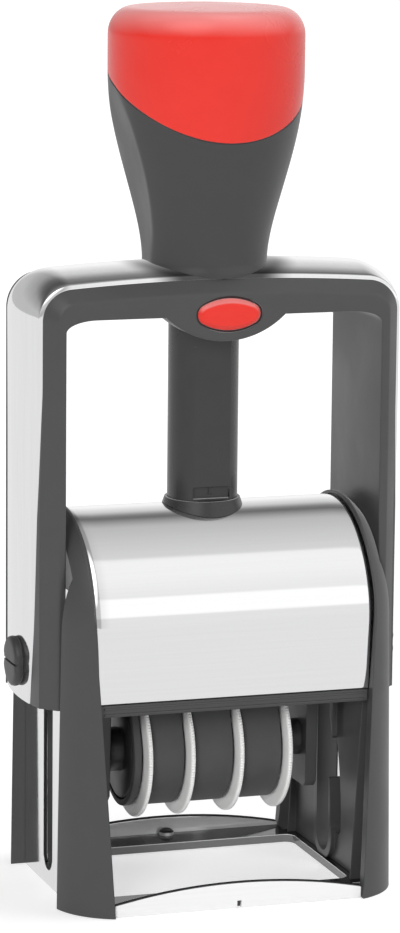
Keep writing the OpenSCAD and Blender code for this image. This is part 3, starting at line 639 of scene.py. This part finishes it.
# front edge of the strip: share of the way up to STRIP_FRONT_TOP, share of the strip's half depth
STRIP_FRONT = [(-0.01, 0.61), (0.05, 0.655), (0.26, 0.8), (0.64, 0.92), (1.0, 1.0)]
STRIP_FRONT_TOP = CORNER_Z - 12.5


class Station:
    """One cross-section of the bow: outer point, outward direction, inner point and amount of bulge."""

    def __init__(self, outer, inner):
        self.x, self.z = outer[0], outer[1]
        length = math.hypot(outer[2], outer[3])
        self.nx, self.nz = outer[2] / length, outer[3] / length
        self.inner = inner
        up = min(max((self.z - LEG_BOTTOM) / (CORNER_Z - LEG_BOTTOM), 0.0), 1.0)
        self.bulge = CROWN * (LEG_SHARE + (1 - LEG_SHARE) * up)
        height = (self.z - LEG_BOTTOM) / (STRIP_FRONT_TOP - LEG_BOTTOM)
        self.front = -STRIP_Y * smooth_line(STRIP_FRONT, height)

    def point(self, y, depth):
        """Place at a depth below the bow's plain outline."""
        return self.x - self.nx * depth, y, self.z - self.nz * depth

    def rise(self, y):
        """Height of the bulge at a depth of the bow."""
        return self.bulge * max(0.0, 1 - (y / STRIP_Y) ** 2)

    def across(self, y, t):
        """Place between the inner edge (0) and the crease of the bevel (1)."""
        x1, _, z1 = self.point(y, BEVEL)
        return self.inner[0] + (x1 - self.inner[0]) * t, y, self.inner[1] + (z1 - self.inner[1]) * t

    def width(self):
        """Distance from the inner edge to the crease of the bevel."""
        x1, _, z1 = self.point(0, BEVEL)
        return math.hypot(x1 - self.inner[0], z1 - self.inner[1])


def top_point(a):
    """Point of the crossbar's outline and its outward direction."""
    return -TOP_R * math.sin(a), TOP_Z0 + TOP_R * math.cos(a), -math.sin(a), math.cos(a)


def bow_stations():
    """Cross-sections from the left foot over the top to the right foot."""
    leg_steps, corner_steps, bar_steps = 40, 56, 24
    turn, reach = BAR_Z - OPEN_H - 2, BOW_IN - OPEN_W - 1
    legs = [Station((-BOW_HALF, z, -1.0, 0.0), (-BOW_IN, z)) for z in
            (LEG_BOTTOM + (turn - LEG_BOTTOM) * k / leg_steps for k in range(leg_steps))]
    outer = [(-BOW_HALF, turn, -1.0, 0.0)]
    for a in (math.pi - (math.pi / 2 - CORNER_A) * k / 32 for k in range(33)):
        c, s = math.cos(a), math.sin(a)
        outer.append((-CORNER_X + CORNER_R * c, CORNER_Z + CORNER_R * s, c, s))
    end = math.asin(reach / TOP_R)
    outer += [top_point(CORNER_A + (end - CORNER_A) * k / 8) for k in range(1, 9)]
    inner = [(-BOW_IN, turn)]
    for a in (math.pi / 2 * k / 24 for k in range(25)):
        inner.append((-BOW_IN + OPEN_W * (1 - math.cos(a)), BAR_Z - OPEN_H * (1 - math.sin(a))))
    inner.append((-reach, BAR_Z))
    corner = [Station(o, i) for o, i in zip(resample(outer, corner_steps), resample(inner, corner_steps))]
    bar = [Station(p, (p[0], BAR_Z)) for p in
           (top_point(end * (1 - k / bar_steps)) for k in range(1, bar_steps + 1))]
    half = legs + corner + bar
    other = [Station((-t.x, t.z, -t.nx, t.nz), (-t.inner[0], t.inner[1])) for t in reversed(half[:-1])]
    return half + other


STATIONS = bow_stations()


def make_strip():
    """Bright sheet strip: bulged across, its front edge running back down the legs, long edges bevelled."""
    edge = [(0.0, 0.66), (0.03, 0.55), (0.27, 0.08), (0.33, 0.02), (0.45, 0.0)]
    margin = edge[-1][0]
    rings = []
    for t in STATIONS:
        y0, y1 = t.front, STRIP_Y
        top = [(y0 + e, depth) for e, depth in edge]
        top += [(y0 + margin + (y1 - y0 - 2 * margin) * k / 28, 0.0) for k in range(1, 28)]
        top += [(y1 - e, depth) for e, depth in reversed(edge)]
        under = [(y0 + (y1 - y0) * k / 8, SHEET) for k in range(8, -1, -1)]
        rings.append([t.point(y, depth - t.rise(y)) for y, depth in top + under])
    piece = mesh_piece("strip", *loft(rings))
    combine(piece, "DIFFERENCE", post(BUSH_R + FIT, BAR_Z, CUT_TOP), rod(PIN_R + FIT, PIVOT_Z),
            *[screw_tool(s, SCREW_R, BAR_Z, CUT_TOP) for s in (-1, 1)])
    return place(piece, "bow", STRIP_METAL, ["bow_band"])


def frame_ring(t, sink):
    """Front half of the dark frame's section at one station; its lip lies sink below the bow's outline."""
    inner_edge, crease, lip_edge = 0.35, 0.45, 0.3
    w, lip = t.width(), STRIP_Y + 0.35
    half = []
    for a in (math.radians(d) for d in (0, 22.5, 45, 67.5, 90)):
        half.append(t.across(-(BOW_Y - inner_edge + inner_edge * math.sin(a)),
                             inner_edge * (1 - math.cos(a)) / w))
    slope = math.hypot(BEVEL - sink, BOW_Y - lip)
    dy, dd = (BOW_Y - lip) / slope, (BEVEL - sink) / slope
    return half + [t.across(-BOW_Y, 0.5 + 0.5 * inner_edge / w), t.across(-BOW_Y, 1 - crease / w),
                   t.point(-BOW_Y + 0.035, BEVEL + 0.12), t.point(-BOW_Y + 0.13, BEVEL - 0.12),
                   t.point(-BOW_Y + crease * dy, BEVEL - crease * dd),
                   t.point(-lip - lip_edge * dy, sink + lip_edge * dd),
                   t.point(-lip - 0.06, sink + 0.1), t.point(-lip + 0.06, sink - 0.02)]


def make_lug():
    """Round lug below the crossbar, with a rounded front edge."""
    steps = 40
    arc = math.acos((LUG_Z + LUG_R - LUG_TOP) / LUG_R)
    # distance behind the bow's front, distance inside the outline
    edge = ((-0.005, 0.4), (0.03, 0.22), (0.12, 0.08), (0.3, 0.0), (LUG_DEPTH, 0.0))
    rings = []
    for back, inset in edge:
        r = LUG_R - inset
        rings.append([(r * math.sin(a), -BOW_Y + back, LUG_Z + LUG_R - r * math.cos(a))
                      for a in (arc * k / steps for k in range(-steps, steps + 1))])
    return mesh_piece("lug", *loft(rings))


def oval_tool(grow, front, back):
    """Tool for the button's hole or pocket, between two depths."""
    rings = [[(BUTTON_X + x, y, BUTTON_Z + z) for x, z in button_oval(grow)] for y in (front, back)]
    return mesh_piece("tool", *loft(rings))


def make_frame():
    """Dark bow frame with bevelled front and back, the lug for the button and all its bores."""
    seat = SHEET + FIT
    rings = []
    for t in STATIONS:
        front = frame_ring(t, FRONT_SINK)
        back = [(x, -y, z) for x, y, z in reversed(frame_ring(t, REAR_SINK))]
        beside = max(0.0, 1 - (t.front + STRIP_Y))
        depth = SKIN_SINK + (FRONT_SINK - SKIN_SINK) * beside
        skin = [(-STRIP_Y + (t.front - 0.05 + STRIP_Y) * k / 8, depth) for k in range(9)]
        skin += [(t.front - FIT + (STRIP_Y + FIT - t.front + FIT) * k / 12, seat) for k in range(13)]
        skin = [t.point(y, d - t.rise(y)) for y, d in skin] + [t.point(STRIP_Y + 0.06, 0.35)]
        rings.append(front + skin + back)
    piece = mesh_piece("bow_body", *loft(rings))
    combine(piece, "UNION", make_lug())
    combine(piece, "DIFFERENCE", rod(COVER_R + 0.5, COVER_Z + TRAVEL, LUG_R),
            post(BUSH_SEAT_R, LEG_BOTTOM, BAR_Z + 0.3), post(BUSH_R + FIT, LEG_BOTTOM, CUT_TOP),
            rod(PIN_R + FIT, PIVOT_Z), oval_tool(BUTTON_GAP, -BOW_Y - 1, -BOW_Y + 1.5),
            oval_tool(POCKET_GAP, -BOW_Y + 1.4, POCKET_Y),
            *[screw_tool(s, r, LEG_BOTTOM, top) for s in (-1, 1)
              for r, top in ((SCREW_R, CUT_TOP), (SCREW_HEAD_R, BAR_Z + 2))])
    return place(piece, "bow", GREY_PLASTIC, ["bow_frame"])


# Pad cover

def make_cover():
    """Bright half-round cover with skirts and rounded lower edges, its ends turned in a little."""
    steps, edge = 96, 0.4

    def shell(r):
        line = [(-r, z) for z in (COVER_FRONT + edge, COVER_FRONT + 3, COVER_FRONT + 7, COVER_Z - 2)]
        for a in (math.pi - math.pi * i / steps for i in range(steps + 1)):
            line.append((r * math.cos(a), COVER_Z + r * math.sin(a)))
        return line + [(r, z) for z in (COVER_Z - 2, COVER_REAR + 2, COVER_REAR + edge)]
    outer, inner = shell(COVER_R), shell(COVER_R - SHEET)
    rounding = ((0.12, 0.1), (edge, 0.0), (SHEET - 0.12, 0.1))
    lip = [(COVER_R - inset, COVER_REAR + lift) for inset, lift in rounding]
    toe = [(-COVER_R + inset, COVER_FRONT + lift) for inset, lift in reversed(rounding)]
    section = outer + lip + list(reversed(inner)) + toe
    # place along the cover, how far it is turned in there
    ends = [(28.2, 0.5), (27.6, 0.48), (27.2, 0.4), (26.9, 0.26), (26.6, 0.12), (26.3, 0.03),
            (COVER_FLAT, 0.0)]
    spans = [(-x, d) for x, d in ends] + [(COVER_FLAT * k / 10, 0.0) for k in range(-9, 10)]
    rings = []
    for x, d in spans + list(reversed(ends)):
        ring = []
        for k, (y, z) in enumerate(section):
            away = Vector((y, max(z - COVER_Z, 0.0))).normalized() * (d if k < len(outer) else 0.0)
            ring.append((x, y - away.x, z - away.y))
        rings.append(ring)
    piece = mesh_piece("cover", *loft(rings))
    combine(piece, "DIFFERENCE", post(COLUMN_R + 0.25, COVER_Z, COVER_Z + 40))
    return place(piece, "base", SATIN, ["pad_cover"])


# Lock button

def oval(a, b, count=128):
    """Oval of four tangent arcs, as (x, z) points at even angles."""
    r1 = 0.66 * b
    c = a - r1
    r2 = (c * c + b * b - r1 * r1) / (2 * (b - r1))
    switch = math.atan2(c, r2 - b)
    points = []
    for angle in angles_round(count):
        x, z = math.cos(angle), math.sin(angle)
        sx, sz = math.copysign(1, x), math.copysign(1, z)
        tilt = math.atan2(abs(x) * a / b, abs(z) + 1e-9)
        if tilt < switch:
            points.append((sx * r2 * math.sin(tilt), sz * (r2 * math.cos(tilt) - r2 + b)))
        else:
            points.append((sx * (c + r1 * math.sin(tilt)), sz * r1 * math.cos(tilt)))
    return points


def button_oval(grow):
    """Outline of the button, grown all round."""
    return oval(BUTTON_W / 2 + grow, BUTTON_H / 2 + grow)


def make_button():
    """Red button with a sloped rim and a raised face, and a dark ring of painted shade that fills the gap
    round it.
    """
    edge, wide, inner, rim = (button_oval(grow) for grow in (0.0, FLANGE, FACE, GAP_SHADE))
    # share of the outline, distance behind the face
    sloped = ((1, 0.9), (0.993, 0.74), (0.975, 0.62), (0.955, 0.55))
    raised = ((1.05, 0.3), (1.01, 0.18), (0.97, 0.1), (0.92, 0.07))

    def ring(shape, k, y):
        return [(BUTTON_X + x * k, y, BUTTON_Z + z * k) for x, z in shape]
    rings = [ring(wide, 0.02, -BOW_Y + 2.2), ring(wide, 1, -BOW_Y + 2.2), ring(wide, 1, -BOW_Y + 1.7),
             ring(edge, 1, -BOW_Y + 1.7)]
    rings += [ring(edge, k, BUTTON_Y + back) for k, back in sloped]
    rings += [ring(inner, k, BUTTON_Y + back) for k, back in raised]
    rings += [ring(inner, k, BUTTON_Y + 0.07 * k * k) for k in (0.82, 0.7, 0.55, 0.4, 0.25, 0.12, 0.01)]
    piece = mesh_piece("button", *loft(rings))
    place(piece, "lock", RED_PLASTIC, ["lock_button"], smooth=50)
    # painted shade: a dark ring put in the gap round the button, where there is only shade
    gap_shade = mesh_piece("button_gap_shade", *loft([ring(shape, 1, -BOW_Y + back) for shape, back in
        ((edge, 0.45), (rim, 0.35), (rim, 1.2), (edge, 1.2))], close_rows=True))
    place(gap_shade, "lock", GAP_SHADE_PLASTIC, ["lock_button"], smooth=50)


# Pin heads

def make_pin_heads():
    """Two dark barrel-shaped pin heads, each split by a level slit and narrowed at the slit's ends."""
    count = 96
    profile = ((0.90, -0.15), (0.985, 0.2), (1.0, 0.7), (0.975, 1.2), (0.90, 1.48), (0.78, 1.58), (0.4, 1.6),
               (0.01, 1.6))
    points, faces, tools = [], [], []
    for side in (-1, 1):
        rings = []
        for k, out in profile:
            ring = []
            for a in angles_round(count):
                waist = 1 - 0.13 * max(0.0, 1 - (abs(math.sin(a)) / 0.30) ** 2)
                r = PIN_HEAD_R * k * waist
                ring.append((side * (PIN_HEAD_X + out), r * math.cos(a), PIVOT_Z + r * math.sin(a)))
            rings.append(ring)
        more, skin = loft(rings)
        faces += [tuple(i + len(points) for i in face) for face in skin]
        points += more
    piece = mesh_piece("pin_heads", points, faces)
    for side in (-1, 1):
        ends = sorted((side * (PIN_HEAD_X + 1.1), side * (PIN_HEAD_X + 2.5)))
        corners = ((-6, -SLIT), (6, -SLIT), (6, SLIT), (-6, SLIT))
        tools.append(mesh_piece("tool", *loft([[(x, y, PIVOT_Z + z) for y, z in corners] for x in ends])))
    combine(piece, "DIFFERENCE", *tools)
    return place(piece, "bow", DARK_PLASTIC, ["pivot_caps"], smooth=40)


# Wheels and type bands

def drum_low(i):
    """Left end of a drum; the first one stands a hub's length off its cheek."""
    return -CHEEK_IN + 3.2 if i == 0 else WHEEL_X[i - 1] + RIM_T / 2 + PASS


def make_wheel(i):
    """Thumb wheel: a dark drum, and a white rim with rounded fine knurls."""
    count = KNURLS * KNURL_STEPS
    x0, x1 = WHEEL_X[i] - RIM_T / 2 + RIM_THIN, WHEEL_X[i] + RIM_T / 2
    body, node = f"wheel_{i + 1}", f"thumb_wheel_{i + 1}"

    def ring(x, r, depth=0.0):
        out = []
        for a in angles_round(count):
            rr = r - depth * (0.5 - 0.5 * math.cos(a * KNURLS))
            out.append((x, rr * math.cos(a), AXLE_Z + rr * math.sin(a)))
        return out
    left = drum_low(i)
    drum = [(left, BOSS_R), (left, DRUM_R - DRUM_EDGE), (left + DRUM_EDGE, DRUM_R), (x0, DRUM_R), (x0, HUB_R)]
    if i == 0:
        end = -CHEEK_IN + PASS
        drum = [(end, HUB_R), (end, BOSS_R - DRUM_EDGE), (end + DRUM_EDGE, BOSS_R)] + drum
    else:
        drum = [(left, HUB_R)] + drum
    core = mesh_piece(f"drum_{i + 1}", *loft([ring(x, r) for x, r in drum], close_rows=True))
    place(core, body, DARK_PLASTIC, [node], smooth=50)
    # distance in from the rim's side, drop below its top, depth of the knurl
    edge = [(0.0, 0.75, 0.0), (0.06, 0.45, 0.05), (0.15, 0.1, 0.18), (0.3, 0.0, 0.24)]
    rings = [ring(x0, HUB_R)] + [ring(x0 + e, WHEEL_R - drop, depth) for e, drop, depth in edge]
    rings += [ring(x1 - e, WHEEL_R - drop, depth) for e, drop, depth in reversed(edge)]
    rings += [ring(x1, BOSS_R), ring(x1, HUB_R + 0.15), ring(x1 - 0.15, HUB_R)]
    rim = mesh_piece(f"wheel_{i + 1}", *loft(rings, close_rows=True))
    return place(rim, body, WHITE_PLASTIC, [node], smooth=50)


def loop_outline(r1, r2):
    """Loop round the drum and the print nose, as (y, z, outward y, outward z)."""
    lean = math.asin((r1 - r2) / (NOSE_Z - AXLE_Z))
    c, s = math.cos(lean), math.sin(lean)
    start, end = Vector((r1 * c, AXLE_Z + r1 * s)), Vector((r2 * c, NOSE_Z + r2 * s))

    def arc(z, r, start_angle, sweep, steps):
        angles = (start_angle + sweep * k / steps for k in range(steps + 1))
        return [(r * math.cos(a), z + r * math.sin(a), math.cos(a), math.sin(a)) for a in angles]
    path = arc(AXLE_Z, r1, math.pi - lean, math.pi + 2 * lean, 72)
    path += [(p.x, p.y, c, s) for p in (start.lerp(end, k / 16) for k in range(1, 16))]
    path += arc(NOSE_Z, r2, lean, math.pi - 2 * lean, 24)
    path += [(-p.x, p.y, -c, s) for p in (end.lerp(start, k / 16) for k in range(1, 16))]
    return path


def make_type_band(i):
    """Rubber band with rounded edges over the drum and the print nose."""
    x0, x1 = drum_low(i), WHEEL_X[i] - RIM_T / 2 - PASS
    edge = [(0.0, 0.25), (0.08, 0.08), (0.3, 0.0)]
    section = [(x0 + e, d) for e, d in edge] + [(x1 - e, d) for e, d in reversed(edge)]
    section += [(x1, TYPE_T), (x0, TYPE_T)]
    rings = [[(x, y - ny * d, z - nz * d) for x, d in section]
             for y, z, ny, nz in loop_outline(BELT_R, NOSE_R)]
    piece = mesh_piece(f"band_{i + 1}", *loft(rings, close_rows=True))
    return place(piece, "carrier", BAND_RUBBER, [f"type_band_{i + 1}"])


# Springs and pad

def make_coil(name, radius, wire, turns, start, along, length):
    """Round wire wound along an axis."""
    steps = 24 * turns
    sideways = Vector((1, 0, 0))
    up = along.cross(sideways)
    rings = []
    for k in range(steps + 1):
        a = 2 * math.pi * turns * k / steps
        out = sideways * math.cos(a) + up * math.sin(a)
        mid = start + along * (length * k / steps) + out * radius
        rings.append([tuple(mid + (out * c + along * s) * wire) for c, s in circle(1, 12)])
    return mesh_piece(name, *loft(rings))


def make_springs():
    """Return spring in the column and the small coil behind the button."""
    wire, end_gap = 0.6, 0.7
    length = ROD_Z - SPRING_Z - 2 * end_gap
    coil = make_coil("return_coil", 3.5, wire, 10, Vector((0, 0, SPRING_Z + end_gap)), Vector((0, 0, 1)),
                     length)
    place(coil, "base", STEEL, ["return_spring"])
    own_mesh(coil)
    wire, end_gap = 0.2, 0.25
    length = POCKET_Y - (-BOW_Y + 0.2) - 2 * end_gap
    small = make_coil("button_coil", 1.4, wire, 3, Vector((0, POCKET_Y - end_gap, BUTTON_Z)),
                      Vector((0, -1, 0)), length)
    place(small, "bow", STEEL, ["button_spring"])
    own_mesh(small)


def make_ink_pad():
    """Felt pad: rounded corners, a slightly crowned working face and soft edges."""
    low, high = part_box("ink_pad")
    x, y = high.x / MM, high.y / MM
    z0, z1 = low.z / MM, high.z / MM
    corner, crown = 1.5, 0.28

    def outline(inset):
        return rounded_box(-x, x, -y, y, corner, 8, inset)
    rings = [[(px, py, z) for px, py in outline(inset)] for inset, z in
             ((0.3, z1), (0.0, z1 - 0.3), (0.0, z0 + 1.0), (0.15, z0 + 0.55), (0.5, z0 + 0.32))]
    for k in (0.9, 0.75, 0.55, 0.35, 0.15, 0.02):
        rings.append([(px * k, py * k, z0 + crown * k ** 2) for px, py in outline(0.5)])
    piece = mesh_piece("pad", *loft(rings))
    place(piece, "base", PAD_FELT, ["ink_pad"])


# Small fixed details

def rounded_bar(name, low, high, r):
    """Bar along X with rounded long edges."""
    (x0, y0, z0), (x1, y1, z1) = low, high
    ring = rounded_box(y0, y1, z0, z1, r, 4)
    return mesh_piece(name, *loft([[(x, y, z) for y, z in ring] for x in (x0, x1)]))


def make_lip_ribs():
    """Two thin ribs along the dark lip below the cover."""
    reach, half, radius = 25.5, 0.2, 0.18
    for index, z in enumerate((37.75, 38.85)):
        rib = rounded_bar(f"lip_rib_{index + 1}", (-reach, -COVER_R - 0.42, z - half),
                          (reach, -COVER_R + 0.1, z + half), radius)
        place(rib, "base", BLACK_PLASTIC, [])


def make_ring_stud():
    """Small domed stud where the ring's rear rail meets its flange."""
    x0, y0, z0 = 0.8, 22.9, 1.5
    profile = [(1.5, 0.0), (1.5, 0.55), (1.4, 0.8), (1.1, 1.1), (0.65, 1.35), (0.3, 1.42), (0.02, 1.43)]
    rings = [[(x0 + x, y0 + y, z0 + h) for x, y in circle(r, 48)] for r, h in profile]
    stud = mesh_piece("ring_stud", *loft(rings))
    place(stud, "base", RING_METAL, [])


def make_rail_notch_shade():
    """Dark piece set into the notch of the front rail: painted shade of the notch."""
    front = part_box("base_ring")[0].y / MM
    # painted shade: a dark piece where the notch is only in shade
    notch_shade = rounded_bar("rail_notch_shade", (-0.2, front + 0.3, 0.25), (0.2, front + 1.05, 1.3), 0.1)
    place(notch_shade, "base", DARK_PLASTIC, [])


# The stage

def mix_shader(tree, share, first, second):
    """Mixes two shaders by a share."""
    return add(tree, "MixShader", share, first[0], second[0])


# the paper's own light: its share, what the camera gets less of it so that shadows stay, and its strength
PAPER_SHARE, PAPER_SHADE, PAPER_GLOW, PAPER_CAMERA_GLOW = 0.85, 0.5, 0.82, 0.84


def make_floor():
    """White paper that takes soft shadows."""
    bpy.ops.mesh.primitive_plane_add(size=40, location=(0, 0, -0.0001))
    floor = bpy.context.object
    floor.name = "floor"
    material = bpy.data.materials.new("floor_paper")
    material.use_nodes = True
    tree = material.node_tree
    tree.nodes.clear()
    path = add(tree, "LightPath")
    camera = path["Is Camera Ray"]
    seen = math_node(tree, "MAXIMUM", camera, path["Is Glossy Ray"])
    seen = math_node(tree, "MAXIMUM", seen, path["Is Transmission Ray"])
    shade = math_node(tree, "MULTIPLY", camera, PAPER_SHADE)
    share = math_node(tree, "SUBTRACT", math_node(tree, "MULTIPLY", seen, PAPER_SHARE), shade)
    glow = math_node(tree, "MULTIPLY", camera, PAPER_CAMERA_GLOW)
    paper = add(tree, "BsdfDiffuse", Color=(0.97, 0.97, 0.97, 1))
    white = add(tree, "Emission", Strength=math_node(tree, "ADD", glow, PAPER_GLOW))
    mix = mix_shader(tree, share, paper, white)
    add(tree, "OutputMaterial", Surface=mix[0])
    floor.data.materials.append(material)


# panels of the studio: turn from the front (0) over the top to the back (1), brightness
PANELS = [(0.0, 0.84), (0.05, 0.84), (0.056, 1.1), (0.155, 1.1), (0.165, 0.89), (0.285, 0.97),
          (0.385, 0.97), (0.405, 0.72), (0.64, 0.53), (0.684, 0.36), (0.735, 0.14), (0.77, 0.25),
          (0.817, 0.64), (0.92, 0.98)]
SOFT_BOX, EVEN_LIGHT, LEFT_SHARE, WHITE = (-0.45, -0.5, 0.74), 0.34, 0.55, (1, 1, 1, 1)


def make_world():
    """White to the camera, an even light on the object, and light and dark panels in the bright metal."""
    world = bpy.data.worlds.new("studio")
    bpy.context.scene.world = world
    world.use_nodes = True
    tree = world.node_tree
    tree.nodes.clear()
    path = add(tree, "LightPath")
    towards = add(tree, "TexCoord")["Generated"]
    split = add(tree, "SeparateXYZ", towards)
    forward = math_node(tree, "MULTIPLY", split["Y"], -1.0)
    angle = math_node(tree, "ARCTAN2", split["Z"], forward)
    ramp = tree.nodes.new("ShaderNodeValToRGB")
    tree.links.new(math_node(tree, "DIVIDE", angle, math.pi), ramp.inputs["Fac"])
    bar = ramp.color_ramp
    while len(bar.elements) > 1:
        bar.elements.remove(bar.elements[-1])
    bar.elements[0].position = PANELS[0][0]
    bar.elements[0].color = (*[PANELS[0][1]] * 3, 1)
    for position, level in PANELS[1:]:
        bar.elements.new(position).color = (level, level, level, 1)
    aim = add(tree, "VectorMath", towards, Vector(SOFT_BOX).normalized(), operation="DOT_PRODUCT")
    box = add(tree, "MapRange", Value=aim["Value"], From_Min=0.86, From_Max=0.97, To_Min=1.0,
              To_Max=4.0)
    side = add(tree, "MapRange", Value=split["X"], From_Min=0.05, From_Max=0.25, To_Min=LEFT_SHARE)
    strength = math_node(tree, "MULTIPLY", box["Result"], side["Result"])
    panels = add(tree, "Background", Color=ramp.outputs["Color"], Strength=strength)
    even = add(tree, "Background", Color=WHITE, Strength=EVEN_LIGHT)
    white = add(tree, "Background", Color=WHITE)
    light = mix_shader(tree, path["Is Glossy Ray"], even, panels)
    seen = math_node(tree, "MAXIMUM", path["Is Camera Ray"], path["Is Transmission Ray"])
    add(tree, "OutputWorld", Surface=mix_shader(tree, seen, light, white)[0])


def make_lamp(name, place_from, spread, power):
    """Wide even lamp that shines from a direction; bright metal shows the panels, not the lamp."""
    data = bpy.data.lights.new(name, "SUN")
    data.angle = math.radians(spread)
    data.energy = power
    lamp = bpy.data.objects.new(name, data)
    bpy.context.scene.collection.objects.link(lamp)
    lamp.location = place_from
    lamp.rotation_euler = (-Vector(place_from)).to_track_quat("-Z", "Y").to_euler()
    lamp.visible_glossy = False


def make_camera():
    """Camera at the photograph's viewing angle."""
    yaw, pitch, roll, distance = 0.3175, 0.1771, 0.0098, 0.76718
    target = Vector((-0.000458, 0, 0.07961))
    right = Vector((math.cos(yaw), -math.sin(yaw), 0))
    level = Vector((math.sin(yaw), math.cos(yaw), 0))
    ahead = level * math.cos(pitch) - Vector((0, 0, math.sin(pitch)))
    up = level * math.sin(pitch) + Vector((0, 0, math.cos(pitch)))
    side = right * math.cos(roll) + up * math.sin(roll)
    top = up * math.cos(roll) - right * math.sin(roll)
    data = bpy.data.cameras.new("camera")
    data.sensor_fit = "VERTICAL"
    data.sensor_height = 36.0
    data.lens = 156.32
    data.clip_start = 0.01
    data.clip_end = 100
    camera = bpy.data.objects.new("camera", data)
    bpy.context.scene.collection.objects.link(camera)
    pose = Matrix((side, top, -ahead)).transposed().to_4x4()
    pose.translation = target - ahead * distance
    camera.matrix_world = pose
    bpy.context.scene.camera = camera


make_camera()
make_floor()
make_world()
make_lamp("key", (-0.52, -0.84, 0.32), 20, 1.7)
make_lamp("fill", (0.75, -0.35, 0.50), 30, 0.5)
make_lamp("top", (0.28, 0.08, 1.00), 24, 1.0)

make_grip()
make_cap()
make_strip()
make_frame()
make_cover()
make_button()
make_pin_heads()
for wheel in range(len(WHEEL_X)):
    make_wheel(wheel)
    make_type_band(wheel)
make_springs()
make_ink_pad()
make_lip_ribs()
make_ring_stud()
make_rail_notch_shade()

# pieces that keep their solid's own form
for body, slot, finish, nodes in (
        ("base", "bright_metal", CHROME, ("side_plate_left", "side_plate_right")),
        ("base", "black_plastic", BLACK_PLASTIC, ("left_side_frame", "right_side_frame", "cover_liner")),
        ("base", "grey_plastic", COLUMN_PLASTIC, ("guide_column",)),
        ("base", "black_plastic", COLUMN_PLASTIC, ("column_collar",)),
        ("carrier", "grey_plastic", GREY_PLASTIC, ("carrier_cheek_left", "carrier_cheek_right"))):
    for node in nodes:
        softened(node, body, finish)
softened("base_ring", "base", RING_METAL, roll_above=1.8)

# solids that stay as they are, with a finish
for finish, nodes in (
        (GREY_PLASTIC, ("pad_tray", "housing_bridge", "axle_spacer", "print_bridge")),
        (BUSH_PLASTIC, ("guide_bush",)),
        (STEEL, ("column_screw", "push_rod", "handle_screws", "pivot_pins", "follower_pins", "wheel_axle",
                 "axle_clips"))):
    for node in nodes:
        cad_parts[node].data.materials.clear()
        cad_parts[node].data.materials.append(finish)

# the bright metal shows the studio, not the dark pieces that stand over it
for name in ("guide_column_form", "button", "button_gap_shade", "return_coil", "button_coil", "cap", "grip",
             "strip", "bow_body"):
    bpy.data.objects[name].visible_glossy = False
for node in ("guide_bush", "push_rod", "handle_screws"):
    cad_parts[node].visible_glossy = False

bpy.context.scene.view_settings.view_transform = "Standard"
